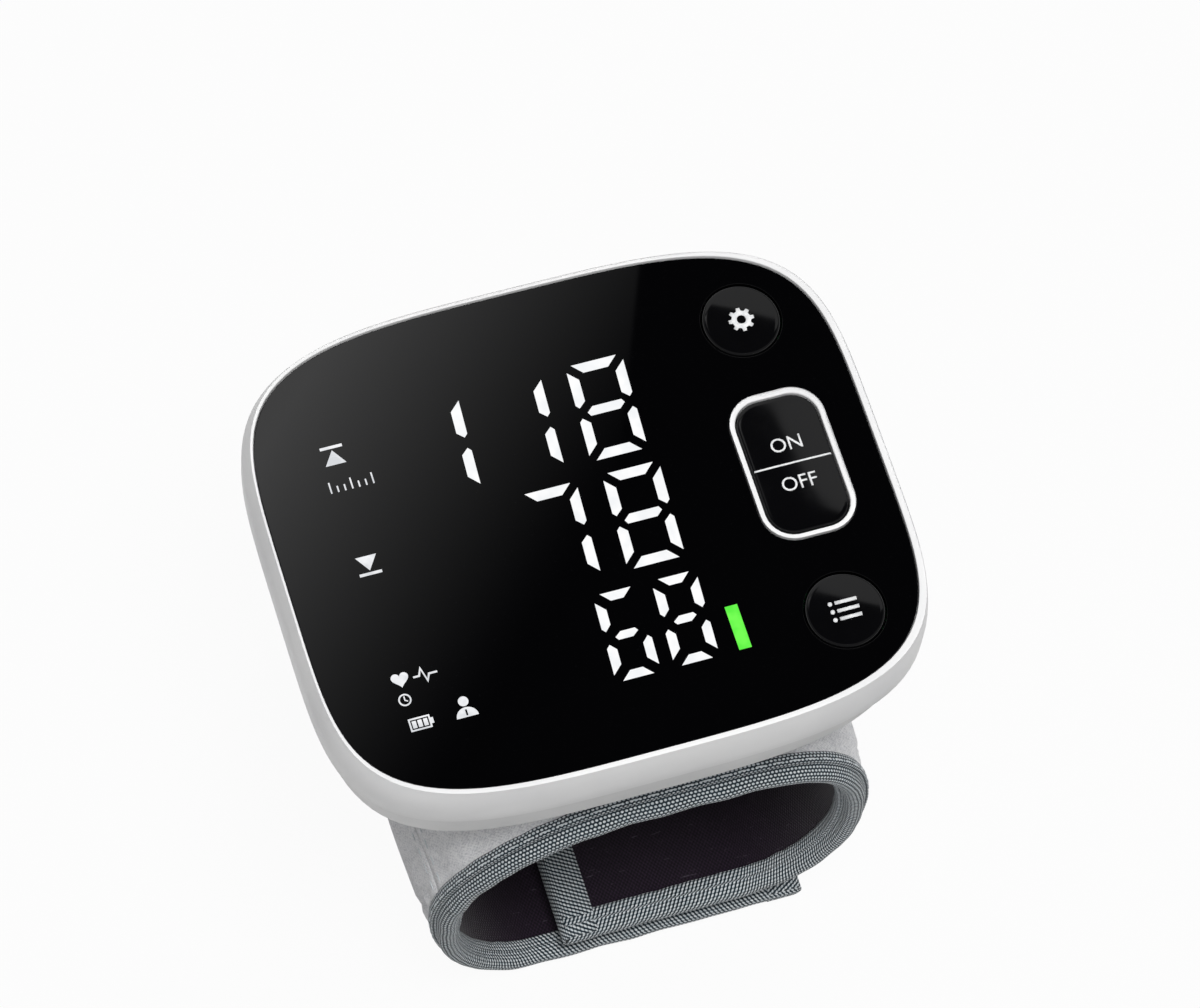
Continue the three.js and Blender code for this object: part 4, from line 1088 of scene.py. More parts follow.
# Readout
GLOW_RISE = 0.03
MARK_CREASE = 20
DIGIT_LEAN = 0.78 / 14.1
DIGITS = {"1": "bc", "6": "acdefg", "7": "abc", "8": "abcdefg"}
BAR_INSET = 0.53
BAR_SKEW = 0.1
BAR_LONG_CUT = 0.8
BAR_SHORT_CUT = 0.35
FOOT_TIP = 0.45
FOOT_OUTER_RISE = 0.48
FOOT_INNER_RISE = 0.85
CHARGE_BAR = (13.5, -23.45, 15.2, -17.2)

# How the bars of one size of digit are cut
DigitCut = namedtuple("DigitCut", "level upright tip inset gap middle")
TALL_CUT = DigitCut(level=1.4, upright=1.38, tip=0.9, inset=0.8, gap=0.77, middle=1.3)
SMALL_CUT = DigitCut(level=1.22, upright=1.27, tip=1.05, inset=0.95, gap=0.92, middle=1.1)
READOUT_ROWS = [
    dict(text="118", right=10.87, low=7.3, width=7.81, height=14.1, pitch=11.35, cut=TALL_CUT),
    dict(text="78", right=10.87, low=-8.8, width=7.81, height=13.95, pitch=11.35, cut=TALL_CUT),
    dict(text="68", right=10.82, low=-23.5, width=6.06, height=12.4, pitch=7.93, cut=SMALL_CUT),
]


def segment_shapes(width, height, cut):
    """Outlines of the seven bars of an upright digit with its lower left corner at 0, 0."""
    left, right = cut.inset, width - cut.inset
    under = height - cut.level
    top = [(left, height), (right, height), (right - cut.level, under), (left + cut.level, under)]
    half = height / 2
    rise = cut.middle / 2
    bar_left, bar_right = left + BAR_INSET, right - BAR_INSET
    across = [
        (bar_left, half - BAR_SKEW), (bar_left + BAR_LONG_CUT, half + rise),
        (bar_right - BAR_SHORT_CUT, half + rise), (bar_right, half + BAR_SKEW),
        (bar_right - BAR_LONG_CUT, half - rise), (bar_left + BAR_SHORT_CUT, half - rise),
    ]
    low = half + cut.gap
    inner = width - cut.upright
    upper_right = [
        (width, height - cut.tip), (width, low + FOOT_OUTER_RISE), (width - FOOT_TIP, low),
        (inner, low + FOOT_INNER_RISE), (inner, height - cut.tip - cut.upright),
    ]
    lower_right = [(x, height - y) for x, y in upper_right]
    return {
        "a": top,
        "b": upper_right,
        "c": lower_right,
        "d": [(x, height - y) for x, y in top],
        "e": [(width - x, y) for x, y in lower_right],
        "f": [(width - x, y) for x, y in upper_right],
        "g": across,
    }


def glowing(bm, points):
    prism(bm, points, FACE - GLOW_RISE, FACE + GLOW_RISE)


def draw_number(bm, text, right, low, width, height, pitch, cut):
    """Draws a number whose last digit ends at a right edge."""
    shapes = segment_shapes(width, height, cut)
    for place, figure in enumerate(reversed(text)):
        left = right - width - place * pitch
        for name in DIGITS[figure]:
            glowing(bm, [(left + x + y * DIGIT_LEAN, low + y) for x, y in shapes[name]])


def make_readout():
    bm = bmesh.new()
    for row in READOUT_ROWS:
        draw_number(bm, **row)
    dress(to_object("digits", bm), DIGIT_GLOW, "monitor", crease=MARK_CREASE)
    bar = solid("charge_bar", glowing, box_points(*CHARGE_BAR))
    dress(bar, CHARGE_GLOW, "monitor", crease=MARK_CREASE)


# Marks beside the readout and on the keys
MARK_THICKNESS = 0.03
KEY_MARK_RISE = 0.05
MARKS_LEFT = -30.9

# Base, tip and bar of the two pressure triangles
TRIANGLES = [(15.9, 18.0, 18.25), (2.3, 0.2, -0.45)]
TICKS = 7
TICK_PITCH = 0.95
TICK_FOOT = 12.0
TICK_LONG = 1.6
TICK_SHORT = 0.9
HEART_PLACE = Vector((MARKS_LEFT + 1.2, -15.5))
PULSE_PLACE = Vector((MARKS_LEFT + 2.9, -15.7))
PULSE_TRACE = [(0, 0), (0.8, 0), (1.2, 1.0), (1.7, -0.9), (2.1, 0), (3.2, 0)]
CLOCK_PLACE = Vector((MARKS_LEFT + 1.0, -18.4))
CLOCK_HANDS = [(0, 0.5), (0, -0.05), (0.35, -0.25)]
BATTERY_PLACE = Vector((-30.34, -22.9))
USER_PLACE = Vector((-22.8, -22.8))
LIST_PITCH = 1.15
WORDS = {"ON": 2.85, "OFF": -2.85}
WORD_HEIGHT = 2.0
RULE_STEPS = 9
RULE_STEP = 0.59
RULE_HALF = 0.12


def cog(x, y, outer, root, teeth=8):
    points = []
    for tooth in range(teeth):
        for part, radius in ((-0.3, root), (-0.18, outer), (0.18, outer), (0.3, root)):
            turn = 2 * math.pi * (tooth + part) / teeth
            points.append((x + radius * math.cos(turn), y + radius * math.sin(turn)))
    return points


def heart(size):
    points = []
    for turn in turns(40):
        across = 16 * math.sin(turn) ** 3
        rise = 13 * math.cos(turn) - 5 * math.cos(2 * turn) - 2 * math.cos(3 * turn) - math.cos(4 * turn)
        points.append((across * size / 32, rise * size / 32))
    return points[::-1]


def stroke_line(points, width):
    """Outline of a line of even width through points, mitred at its corners."""
    spots = [Vector(point) for point in points]
    ways = [(far - near).normalized() for near, far in zip(spots, spots[1:])]
    left, right = [], []
    for spot, before, after in zip(spots, ways[:1] + ways, ways + ways[-1:]):
        along = (before + after).normalized()
        side = Vector((-along.y, along.x)) * (width / 2 / max(along.dot(before), 0.45))
        left.append(tuple(spot + side))
        right.append(tuple(spot - side))
    return right + left[::-1]


def battery_loops():
    """A cell with a knob and three bars of charge, from its lower left corner."""
    yield [box_points(0, 0, 2.84, 1.8), box_points(0.22, 0.22, 2.62, 1.58)]
    yield [box_points(2.84, 0.5, 3.19, 1.3)]
    for bar in range(3):
        left = 0.39 + bar * 0.75
        yield [box_points(left, 0.4, left + 0.55, 1.4)]


def user_loops():
    """A head over a pair of shoulders with a slit, from the middle of the shoulders' foot."""
    yield [disc(0, 2.2, 0.68, 28)]
    arch = [math.pi * i / 16 for i in range(17)]
    shoulders = [(1.45 * math.cos(turn), 1.35 * math.sin(turn)) for turn in arch]
    yield [shoulders, box_points(-0.12, 0.2, 0.12, 1.05)]


def panel_loops():
    """Loops of every mark beside the readout, each with its holes."""
    left = MARKS_LEFT
    for base, tip, bar in TRIANGLES:
        yield [[(left + 0.4, base), (left + 3.2, base), (left + 1.8, tip)]]
        yield [box_points(left + 0.3, bar, left + 3.3, bar + 0.4)]
    for tick in range(TICKS):
        x = left + tick * TICK_PITCH
        rise = TICK_SHORT if tick % 3 else TICK_LONG
        yield [box_points(x, TICK_FOOT, x + 0.2, TICK_FOOT + rise)]
    yield [shifted(heart(2.3), HEART_PLACE)]
    yield [shifted(stroke_line(PULSE_TRACE, 0.26), PULSE_PLACE)]
    yield [disc(*CLOCK_PLACE, radius, 28) for radius in (0.85, 0.65)]
    yield [shifted(stroke_line(CLOCK_HANDS, 0.16), CLOCK_PLACE)]
    for mark in battery_loops():
        yield [shifted(loop, BATTERY_PLACE) for loop in mark]
    for mark in user_loops():
        yield [shifted(loop, USER_PLACE) for loop in mark]


def lettering(text, x, y, height):
    """A word in plain capitals, centred on a point, as a flat mesh in millimetres."""
    curve = bpy.data.curves.new(text, "FONT")
    curve.body = text
    curve.resolution_u = 4
    holder = bpy.data.objects.new(text, curve)
    bpy.context.collection.objects.link(holder)
    mesh = mesh_of(holder)
    bpy.data.objects.remove(holder)
    xs = [v.co.x for v in mesh.vertices]
    ys = [v.co.y for v in mesh.vertices]
    scale = height / (max(ys) - min(ys))
    middle = Vector(((max(xs) + min(xs)) / 2, (max(ys) + min(ys)) / 2, 0))
    mesh.transform(Matrix.Translation((x, y, 0)) @ Matrix.Scale(scale, 4) @ Matrix.Translation(-middle))
    return mesh


def add_mesh(bm, mesh):
    bm.from_mesh(mesh)
    bpy.data.meshes.remove(mesh)


def stamp(bm, loops, z=FACE):
    """Adds a flat mark; later loops are holes in the first."""
    sheet = flat_sheet(loops, z)
    mesh = bpy.data.meshes.new("stamp")
    sheet.to_mesh(mesh)
    sheet.free()
    add_mesh(bm, mesh)


def make_panel_marks():
    """Grey marks beside the readout: plain symbols for pressure, pulse, time, charge and user."""
    bm = bmesh.new()
    for loops in panel_loops():
        stamp(bm, loops, FACE + MARK_THICKNESS)
    piece = to_object("panel_marks", bm, closed=False)
    dress(piece, LABEL_GLOW, "monitor", crease=MARK_CREASE)
    thicken(piece, MARK_THICKNESS * 1.5)


def print_on_key(name, bm, top, body):
    """Lays flat marks on a key's domed top."""
    for vert in bm.verts:
        vert.co.z = top(vert.co.x, vert.co.y) + KEY_MARK_RISE
    bmesh.ops.remove_doubles(bm, verts=bm.verts[:], dist=1e-4)
    piece = to_object(name, bm, closed=False)
    dress(piece, KEY_INK, body, crease=MARK_CREASE)
    thicken(piece, KEY_MARK_RISE * 2)


def make_key_marks():
    """A cog, a list and a plain on and off word on the three keys."""
    key = centre_of("set_key")
    bm = bmesh.new()
    stamp(bm, [cog(*key.xy, 1.75, 1.32), disc(*key.xy, 0.62, 24)])
    print_on_key("set_mark", bm, round_top(key), "set_button")
    key = centre_of("memory_key")
    bm = bmesh.new()
    for row in (-1, 0, 1):
        y = key.y + row * LIST_PITCH
        stamp(bm, [box_points(key.x - 1.1, y - 0.24, key.x + 1.9, y + 0.24)])
        stamp(bm, [disc(key.x - 1.75, y, 0.3, 20)])
    print_on_key("memory_mark", bm, round_top(key), "memory_button")
    middle = START_CENTRE
    bm = bmesh.new()
    for text, rise in WORDS.items():
        add_mesh(bm, lettering(text, middle.x, middle.y + rise, WORD_HEIGHT))
    for step in range(-RULE_STEPS, RULE_STEPS):
        x = middle.x + step * RULE_STEP
        stamp(bm, [box_points(x, middle.y - RULE_HALF, x + RULE_STEP, middle.y + RULE_HALF)])
    print_on_key("start_mark", bm, start_top, "start_button")


# Rear case
def rear_growth(depth):
    sunk = max(0, depth - (REAR_DEPTH - REAR_ROUND_HEIGHT)) / REAR_ROUND_HEIGHT
    bulge = REAR_ROUND_WIDTH * (1 - math.sqrt(max(0, 1 - sunk * sunk)))
    return REAR_START_GROWTH - REAR_DRAFT * max(0, depth - BEZEL_DEPTH) - bulge


def rear_levels(top, bottom, inset):
    """Loops of the rear case between two depths, drawn in by an inset."""
    round_start = REAR_DEPTH - REAR_ROUND_HEIGHT
    depths = [top, (top + round_start) / 2]
    for step in range(REAR_ROUND_STEPS + 1):
        depth = round_start + REAR_ROUND_HEIGHT * math.sin(math.pi / 2 * step / REAR_ROUND_STEPS)
        if depth < bottom - REAR_LEVEL_GAP:
            depths.append(depth)
    depths.append(bottom)
    return [(body_outline(rear_growth(depth) - inset), FACE - depth) for depth in depths]


def post(name, place, radius, low, high):
    return solid(name, prism, disc(*place.xy, radius, POST_POINTS), low, high)


def stiffeners():
    """Ribs round the battery bay and a column over each screw, before they are trimmed to the case."""
    bottom = FACE - REAR_DEPTH
    top = FACE - RIB_TOP_DEPTH
    long_half = BAY_HALF_LENGTH + RIB
    yield solid("rib", block, (BAY_INNER_X, -long_half, bottom), (BAY_INNER_X + RIB, long_half, top))
    near, far = BAY_HALF_LENGTH, BAY_HALF_LENGTH + END_RIB
    for low, high in ((near, far), (-far, -near)):
        foot = (-PANEL_HALF_WIDTH, low, bottom)
        yield solid("rib", block, foot, (BAY_INNER_X + RIB / 2, high, top - END_RIB_DROP))
    for screw in CASE_SCREWS:
        yield post("column", screw, COLUMN_RADIUS, bottom, FACE - COLUMN_TOP_DEPTH)


def door_block(name, gap):
    """The door's share of the rear case, grown by a gap."""
    reach = DOOR_HALF_LENGTH + gap
    return solid(name, block, (-FAR_OUT, -reach, 0), (DOOR_RIGHT + gap, reach, FACE - DOOR_TOP_DEPTH + gap))


def saddle_tool():
    """The room that the cuff takes under the case, with clearance round it."""
    outline = []
    for step in range(SADDLE_STEPS + 1):
        place = WRAP_LINE.place(TOP_LINE_LENGTH * step / SADDLE_STEPS, 0, TAPE_PROUD + DOOR_GAP)
        outline.append((place.x, place.z))
    outline.append((outline[-1][0], SADDLE_FOOT))
    outline.append((outline[0][0], SADDLE_FOOT))
    tool = solid("saddle", prism, outline, -FAR_OUT, FAR_OUT)
    tool.data.transform(Matrix.Rotation(math.pi / 2, 4, "X"))
    return tool


def grip_bar(depth):
    """A rounded bar on the door's side, to push it by."""
    bm = bmesh.new()
    bar = bmesh.ops.create_uvsphere(bm, u_segments=12, v_segments=8, radius=GRIP_RADIUS)["verts"]
    bmesh.ops.rotate(bm, verts=bar, matrix=Matrix.Rotation(math.pi / 2, 3, "X"))
    for vert in bar:
        if abs(vert.co.y) > 1e-4:
            vert.co.y += math.copysign(GRIP_HALF_LENGTH - GRIP_RADIUS, vert.co.y)
    wall = PANEL_HALF_WIDTH + rear_growth(depth)
    bmesh.ops.translate(bm, verts=bar, vec=(GRIP_SINK - wall, 0, FACE - depth))
    return to_object("grip", bm)


def make_rear():
    """Rear case with its battery bay, screw wells and saddle, and the door cut from the same shell."""
    shell = solid("rear_shell", loft, rear_levels(SEAM, REAR_DEPTH, 0))
    core = solid("core", loft, rear_levels(SEAM + CORE_DROP, FLOOR_DEPTH + WALL / 2, WALL / 2))
    carve(shell, solid("room", loft, rear_levels(BEZEL_DEPTH, FLOOR_DEPTH, WALL)))
    door = twin(shell)
    for stiffener in stiffeners():
        carve(stiffener, core, "INTERSECT", keep_tool=True)
        carve(shell, stiffener, "UNION")
    for screw in CASE_SCREWS:
        carve(shell, post("well", screw, WELL_RADIUS, 0, FACE - SCREW_SEAT))
    carve(shell, door_block("doorway", DOOR_GAP))
    carve(shell, saddle_tool())
    carve(door, door_block("reach", 0), "INTERSECT")
    carve(door, saddle_tool())
    for row in (-1, 0, 1):
        carve(door, grip_bar(BAY_DEPTH + row * GRIP_PITCH), "UNION")
    bpy.data.objects.remove(core)
    dress(shell, REAR_WHITE, "monitor", ["rear_case"], crease=28)
    dress(door, REAR_WHITE, "door", ["battery_door"], crease=28)
    door.name = "door_shell"


# Lines of the cuff
def bend(start, end, fullness, upright_first):
    """A soft corner between an upright and a level stretch of strap."""
    upright, level = (start, end) if upright_first else (end, start)
    upright_handle = Vector((upright.x, upright.y + (level.y - upright.y) * fullness))
    level_handle = Vector((level.x + (upright.x - level.x) * fullness, level.y))
    first, second = (upright_handle, level_handle) if upright_first else (level_handle, upright_handle)
    return interpolate_bezier(start, first, second, end, CURVE_STEPS)


def path_of(*stretches):
    """Joins stretches of points, without repeats, and shifts them to the cuff's middle."""
    joined = []
    for stretch in stretches:
        for point in stretch:
            moved = Vector((point[0] + CUFF_MIDDLE_X, point[1]))
            if not joined or (moved - joined[-1]).length > 1e-3:
                joined.append(moved)
    return joined


class StrapLine:
    """The line of a strap's outer face, seen from the end of the cuff."""

    def __init__(self, points, side):
        self.points = points
        self.side = side
        self.marks = [0]
        for near, far in zip(points, points[1:]):
            self.marks.append(self.marks[-1] + (far - near).length)
        self.length = self.marks[-1]

    def point(self, along):
        """The point at a distance along the line, which runs on straight past its ends."""
        k = min(max(bisect(self.marks, along) - 1, 0), len(self.points) - 2)
        share = (along - self.marks[k]) / (self.marks[k + 1] - self.marks[k])
        near, far = self.points[k], self.points[k + 1]
        if 0 <= share <= 1:
            return near.lerp(far, share)
        return near + (far - near) * share

    def direction(self, along):
        return (self.point(along + 0.8) - self.point(along - 0.8)).normalized()

    def outward(self, along):
        way = self.direction(along)
        return Vector((-way.y, 0, way.x)) * self.side

    def place(self, along, y, proud):
        spot = self.point(along)
        return Vector((spot.x, y, spot.y)) + self.outward(along) * proud


LEFT_SHOULDER = Vector((-CUFF_HALF_WIDTH, CUFF_SHOULDER))
RIGHT_SHOULDER = Vector((CUFF_HALF_WIDTH, CUFF_SHOULDER))
TOP_LEFT = Vector((-3, CUFF_TOP))
TOP_RIGHT = Vector((10, CUFF_TOP))
WRAP_CURL = Vector((15, WRAP_BOTTOM))
WRAP_TIP = Vector((-12, WRAP_BOTTOM))
TAIL_TOP = Vector((-CUFF_HALF_WIDTH, CUFF_SHOULDER - 0.3))
TAIL_CURL = Vector((-15, TAIL_BOTTOM))
TAIL_TIP = Vector((24, TAIL_BOTTOM))
LEFT_BEND = bend(LEFT_SHOULDER, TOP_LEFT, 0.54, True)
RIGHT_BEND = bend(TOP_RIGHT, RIGHT_SHOULDER, 0.66, False)
LOWER_BEND = bend(RIGHT_SHOULDER, WRAP_CURL, 0.56, True)
TAIL_BEND = bend(TAIL_TOP, TAIL_CURL, 0.56, True)
TOP_LINE_LENGTH = StrapLine(path_of(LEFT_BEND, [TOP_RIGHT], RIGHT_BEND), 1).length
WRAP_LINE = StrapLine(path_of(LEFT_BEND, RIGHT_BEND, LOWER_BEND, [WRAP_TIP]), 1)
FOLD_PATH = [WRAP_LINE.point(FOLD_REACH * (1 - step / 12)) for step in range(13)]
TAIL_LINE = StrapLine(FOLD_PATH + path_of(TAIL_BEND, [TAIL_TIP]), -1)
END_INSET = 0.8
WRAP_START = FOLD_REACH
WRAP_STOP = WRAP_LINE.length - END_INSET
TAIL_STOP = TAIL_LINE.length - END_INSET


# Cloth, lining and tapes of the cuff
CROWN = 0.7
CROWN_RUN = 16
PUCKER_FADE = 3.5
PUCKER_WAVE = 0.14
PUCKER_UNEVEN = 0.1
RIPPLE = 0.12
TUCK_DEPTH = 0.25
MOST_PROUD = 0.9
QUILT_SWELL = 0.5
QUILT_RUN = 12
QUILT_UNEVEN = 0.15
TAPE_FOLD = 1.1
TAPE_FOLD_STEPS = 16
HEM_WANDER = 0.16
FOLD_WANDER = 0.18
TAPE_UNEVEN = 0.07


def smooth(low, high, value):
    share = min(max((value - low) / (high - low), 0), 1)
    return share * share * (3 - 2 * share)


def wobble(x, y, seed=0):
    return noise.noise(Vector((x, y, seed)))


def strip(line, start, stop, place, columns, rows, inward=False):
    """A strip of cloth: place(along, across) puts it on the strap, and it faces out or in."""
    def spread(u, v):
        along = start + u * (stop - start)
        point, around = place(along, v)
        return point, (along, around)

    bm = cloth_grid(columns, rows, spread)
    bm.faces.ensure_lookup_table()
    way = line.outward(start)
    turn_sheet(bm, bm.faces[0], -way if inward else way)
    return bm


def under_case(point):
    """1 where the strap lies against the case above it, 0 where it is free."""
    return smooth(CUFF_TOP - 12, CUFF_TOP - 5, point.z)


def fabric_place(line):
    """Outer cloth between the tapes: a soft crown that puckers beside the stitched tapes."""
    def place(along, across):
        y = CLOTH_HALF * (2 * across - 1)
        free = 1 - under_case(line.place(along, y, 0))
        inside = OPEN_HALF - abs(y)
        crown = CROWN * free * smooth(-1, CROWN_RUN, inside)
        wave = PUCKER_WAVE * math.sin(along * 1.05 + 2.2 * wobble(along * 0.12, y * 0.05))
        pucker = math.exp(-max(inside, 0) / PUCKER_FADE) * (wave + PUCKER_UNEVEN * wobble(along * 0.35, 3))
        ripple = RIPPLE * free * wobble(along * 0.09, y * 0.07, 5)
        tucked = -TUCK_DEPTH * smooth(0.4, -1.2, inside)
        proud = min(crown + pucker * (0.35 + 0.65 * free) + ripple + tucked, MOST_PROUD)
        return line.place(along, y, proud), y
    return place


def lining_place(line, thickness):
    """Inner cloth: a shallow quilted swell towards the wrist."""
    def place(along, across):
        y = CLOTH_HALF * (2 * across - 1)
        swell = QUILT_SWELL * smooth(-1, QUILT_RUN, OPEN_HALF - abs(y))
        swell += QUILT_UNEVEN * wobble(along * 0.12, y * 0.09, 9)
        return line.place(along, y, -thickness(along) - swell), y
    return place


def tape_section(thickness):
    """Points of the edge tape from its outer hem, round the strap's pinched edge, to its inner hem."""
    pinch = (thickness - EDGE_THICKNESS) / 2
    half = EDGE_THICKNESS / 2 + TAPE_CLOTH
    outer = [
        (TAPE_REACH, 0.36), (TAPE_REACH - 0.6, 0.55), (TAPE_REACH - 1.6, 0.5),
        (TAPE_FOLD + 0.8, 0.2 - pinch * 0.55),
    ]
    points = list(outer)
    for step in range(TAPE_FOLD_STEPS + 1):
        turn = math.pi * step / TAPE_FOLD_STEPS
        reach = TAPE_FOLD * (1 - math.sin(turn) * 0.97)
        points.append((reach, -thickness / 2 + half * math.cos(turn)))
    points += [(reach, -thickness - proud) for reach, proud in reversed(outer)]
    return [Vector(point) for point in points]


def tape_place(line, end, thickness):
    """Edge tape round one end of the cuff: -1 is near and 1 is far."""
    def place(along, across):
        section = StrapLine(tape_section(thickness(along)), 1)
        around = across * section.length
        reach, proud = section.point(min(max(around, 1e-4), section.length - 1e-4))
        hem = smooth(TAPE_REACH - 1.5, TAPE_REACH, reach)
        reach += hem * HEM_WANDER * wobble(along * 0.4, 1, 2 + end)
        reach += (1 - smooth(0, 2, reach)) * FOLD_WANDER * wobble(along * 0.22, 4, end)
        proud += TAPE_UNEVEN * wobble(along * 0.5, reach * 0.8, 7 + end)
        return line.place(along, end * (CUFF_HALF_LENGTH - reach), proud), around
    return place


def wrap_thickness(_along):
    return WRAP_THICKNESS


def tail_thickness(along):
    thinned = smooth(FOLD_REACH, FOLD_REACH + 12, along)
    return WRAP_THICKNESS + (TAIL_THICKNESS - WRAP_THICKNESS) * thinned


DRAPE_SCALE = 0.01
DRAPE_FRAMES = 18
DRAPE_SLACK = 0.04
DRAPE_PRESSURE = 0.4
DRAPE_SWELL = 0.8
DRAPE_SINK = 0.25
FLOOR_GAP = 0.05


def between_tapes(place):
    """1 on the open cloth of a strap, 0 under its tapes, at its seam, against the case and underneath."""
    seam = (place - WRAP_LINE.place(WRAP_START, place.y, 0)).length
    raised = smooth(WRAP_BOTTOM + 1, WRAP_BOTTOM + 9, place.z)
    return smooth(0, 2.5, OPEN_HALF - abs(place.y)) * smooth(2, 5, seam) * raised * (1 - under_case(place))


def drape(piece):
    """Lets the open cloth of a strap swell and settle by simulation, and caps how far a point moves."""
    mesh = piece.data
    start = [vert.co.copy() for vert in mesh.vertices]
    normals = [vert.normal.copy() for vert in mesh.vertices]
    held = piece.vertex_groups.new(name="held")
    for vert in mesh.vertices:
        held.add([vert.index], 1 - between_tapes(vert.co), "REPLACE")
    mesh.transform(Matrix.Scale(DRAPE_SCALE, 4))
    cloth = piece.modifiers.new("drape", "CLOTH")
    settings = cloth.settings
    settings.quality = 6
    settings.mass = 0.3
    settings.tension_stiffness = 12
    settings.compression_stiffness = 12
    settings.shear_stiffness = 4
    settings.bending_stiffness = 0.4
    settings.vertex_group_mass = held.name
    settings.shrink_min = -DRAPE_SLACK
    settings.use_pressure = True
    settings.uniform_pressure_force = DRAPE_PRESSURE
    settings.effector_weights.gravity = 0
    cloth.point_cache.frame_end = DRAPE_FRAMES
    scene = bpy.context.scene
    for step in range(1, DRAPE_FRAMES + 1):
        scene.frame_set(step)
    depsgraph = bpy.context.evaluated_depsgraph_get()
    settled = [vert.co / DRAPE_SCALE for vert in piece.evaluated_get(depsgraph).data.vertices]
    piece.modifiers.remove(cloth)
    piece.vertex_groups.remove(held)
    scene.frame_set(1)
    for vert, first, normal, last in zip(mesh.vertices, start, normals, settled):
        rise = min(max((last - first).dot(normal), -DRAPE_SINK), DRAPE_SWELL)
        vert.co = first + normal * rise
        vert.co.z = max(vert.co.z, FLOOR_GAP)
    mesh.update()


TAPE_STITCH = 2.35
STITCH_PITCH = 2.5
STITCH_LENGTH = 1.7
STITCH_WIDTH = 0.24
STITCH_PROUD = 0.5
STITCH_SLANT = 0.06
SEAM_STITCH = 1.3


def add_stitch(bm, place, direction, out):
    """One stitch that lies along a direction on a face."""
    side = out.cross(direction).normalized()
    turn = Matrix((direction, side, direction.cross(side))).transposed().to_4x4()
    shape = Matrix.Diagonal((STITCH_LENGTH / 2, STITCH_WIDTH / 2, STITCH_WIDTH / 2, 1))
    bmesh.ops.create_uvsphere(
        bm, u_segments=6, v_segments=4, radius=1,
        matrix=Matrix.Translation(place) @ turn @ shape @ Matrix.Rotation(math.pi / 2, 4, "Y"),
    )


def stitch_row(bm, line, start, stop, end):
    """A row of stitches along a tape."""
    for i in range(int((stop - start) / STITCH_PITCH)):
        along = start + (i + 0.5) * STITCH_PITCH
        way = line.direction(along)
        place = line.place(along, end * (CUFF_HALF_LENGTH - TAPE_STITCH), STITCH_PROUD)
        add_stitch(bm, place, Vector((way.x, STITCH_SLANT * end, way.y)).normalized(), line.outward(along))


def seam_row(name, line, along, body):
    """A row of stitches across a strap, beside the seam that joins the tail to the wrap."""
    bm = bmesh.new()
    half = OPEN_HALF - 0.5
    count = int(2 * half / STITCH_PITCH)
    for i in range(count):
        y = half * (2 * (i + 0.5) / count - 1)
        place = fabric_place(line)(along, y / (2 * CLOTH_HALF) + 0.5)[0]
        add_stitch(bm, place, Vector((0, 1, 0)), line.outward(along))
    dress(to_object(name, bm), THREAD, body)


CLOTH_ROWS = 66
TAPE_ROWS = 30


def make_strap(name, line, start, stop, thickness, body, nodes):
    """One strap: outer cloth, lining, a tape along each edge and its stitching."""
    columns = int(stop - start)
    fabric_nodes, lining_nodes, tape_nodes = nodes
    bm = strip(line, start, stop, fabric_place(line), columns, CLOTH_ROWS)
    fabric = to_object(f"{name}_fabric", bm, closed=False)
    drape(fabric)
    dress(fabric, CLOTH_GREY, body, fabric_nodes)
    thicken(fabric, CLOTH)
    bm = strip(line, start, stop, lining_place(line, thickness), columns, CLOTH_ROWS, inward=True)
    lining = to_object(f"{name}_lining", bm, closed=False)
    dress(lining, LINING, body, lining_nodes)
    thicken(lining, CLOTH)
    for end, word, node in zip((-1, 1), ("near", "far"), tape_nodes):
        bm = strip(line, start, stop, tape_place(line, end, thickness), columns * 2, TAPE_ROWS)
        tape = to_object(f"{name}_tape_{word}", bm, closed=False)
        dress(tape, TAPE, body, [node])
        thicken(tape, TAPE_CLOTH)
        bm = bmesh.new()
        stitch_row(bm, line, start, stop, end)
        dress(to_object(f"{name}_stitches_{word}", bm), THREAD, body)


END_REACH = 5
END_FOLD = 1.2
END_PROUD = 0.65
END_EDGE_PROUD = 0.5
END_SHORT = 0.35
END_PAST = 0.6
END_UNEVEN = 0.05
END_COLUMNS = 120
END_ROWS = 24


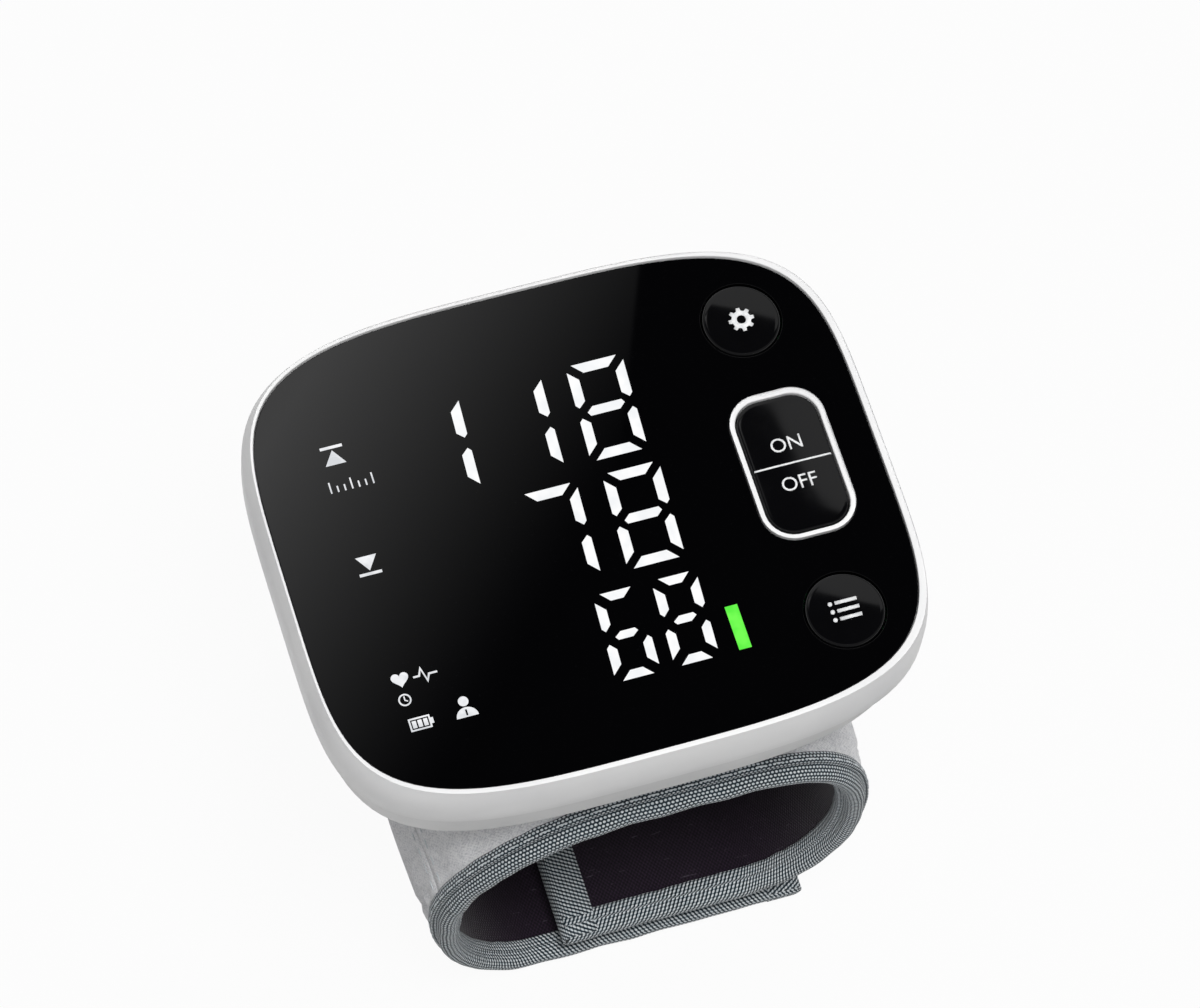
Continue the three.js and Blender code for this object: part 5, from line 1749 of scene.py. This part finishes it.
def make_end_tape(name, line, stop, thickness, body):
    """Tape folded over the free end of a strap, and over the ends of its edge tapes."""
    depth = thickness(stop)
    half_span = CUFF_HALF_LENGTH - END_SHORT
    edge_room = EDGE_THICKNESS / 2 + END_EDGE_PROUD
    full_room = depth / 2 + END_PROUD
    run = END_REACH - END_FOLD
    arc = math.pi / 2 * (END_FOLD + full_room)

    def place(u, v):
        y = half_span * (2 * u - 1)
        pinch = smooth(0.6, 3.4, CUFF_HALF_LENGTH - abs(y))
        room = edge_room + (full_room - edge_room) * pinch
        distance = v * (2 * run + arc)
        turn = min(max((distance - run) / arc, 0), 1) * math.pi
        back = END_FOLD * (1 - math.sin(turn)) + max(run - distance, distance - run - arc, 0)
        proud = -depth / 2 + room * math.cos(turn) + END_UNEVEN * wobble(y * 0.4, v * 3, 11)
        return line.place(stop + END_PAST - back, y, proud), (2 * half_span * u, distance)

    bm = cloth_grid(END_COLUMNS, END_ROWS, place)
    turn_sheet(bm, lowest_face(bm), Vector((0, 0, -1)))
    piece = to_object(name, bm, closed=False)
    dress(piece, TAPE, body)
    thicken(piece, TAPE_CLOTH)


PAD_CORNER = 3
PAD_FOOT_ROUND = 0.3
PAD_TOP_ROUND = 0.4


def make_hook_pad():
    """Fastening patch on the tail, with softly rounded corners."""
    low, high = corners("hook_patch")
    middle = (low + high) / 2
    size = (high - low) / 2
    foot = [(PAD_FOOT_ROUND, low.z), (0, low.z + PAD_FOOT_ROUND)]
    top = [(0, high.z - PAD_TOP_ROUND), (PAD_TOP_ROUND, high.z)]
    levels = []
    for inset, z in foot + top:
        levels.append((rounded_box(*middle.xy, size.x - inset, size.y - inset, PAD_CORNER, 96), z))
    bm = bmesh.new()
    loft(bm, levels)
    chart = bm.loops.layers.uv.new("cloth")
    for face in bm.faces:
        for corner in face.loops:
            corner[chart].uv = corner.vert.co.xy
    piece = to_object("hook_pad", bm)
    dress(piece, HOOKS, "tail", ["hook_patch"])


def make_cuff():
    make_strap("wrap", WRAP_LINE, WRAP_START, WRAP_STOP, wrap_thickness, "monitor", (
        ["cuff_outer_fabric"], ["cuff_lining"], ["cuff_binding_near", "cuff_binding_far"],
    ))
    make_strap("tail", TAIL_LINE, 0, TAIL_STOP, tail_thickness, "fold", (
        ["cuff_tail"], [], ["tail_binding_near", "tail_binding_far"],
    ))
    seam_row("wrap_seam", WRAP_LINE, WRAP_START + SEAM_STITCH, "monitor")
    seam_row("tail_seam", TAIL_LINE, SEAM_STITCH, "fold")
    make_end_tape("wrap_end_tape", WRAP_LINE, WRAP_STOP, wrap_thickness, "monitor")
    make_end_tape("tail_end_tape", TAIL_LINE, TAIL_STOP, tail_thickness, "fold")
    make_hook_pad()


add_camera()
add_studio()
add_reflector()
add_light()
finish_inner_solids()
make_bezel()
make_panel()
make_keys()
make_start_ring()
make_readout()
make_panel_marks()
make_key_marks()
make_rear()
make_cuff()
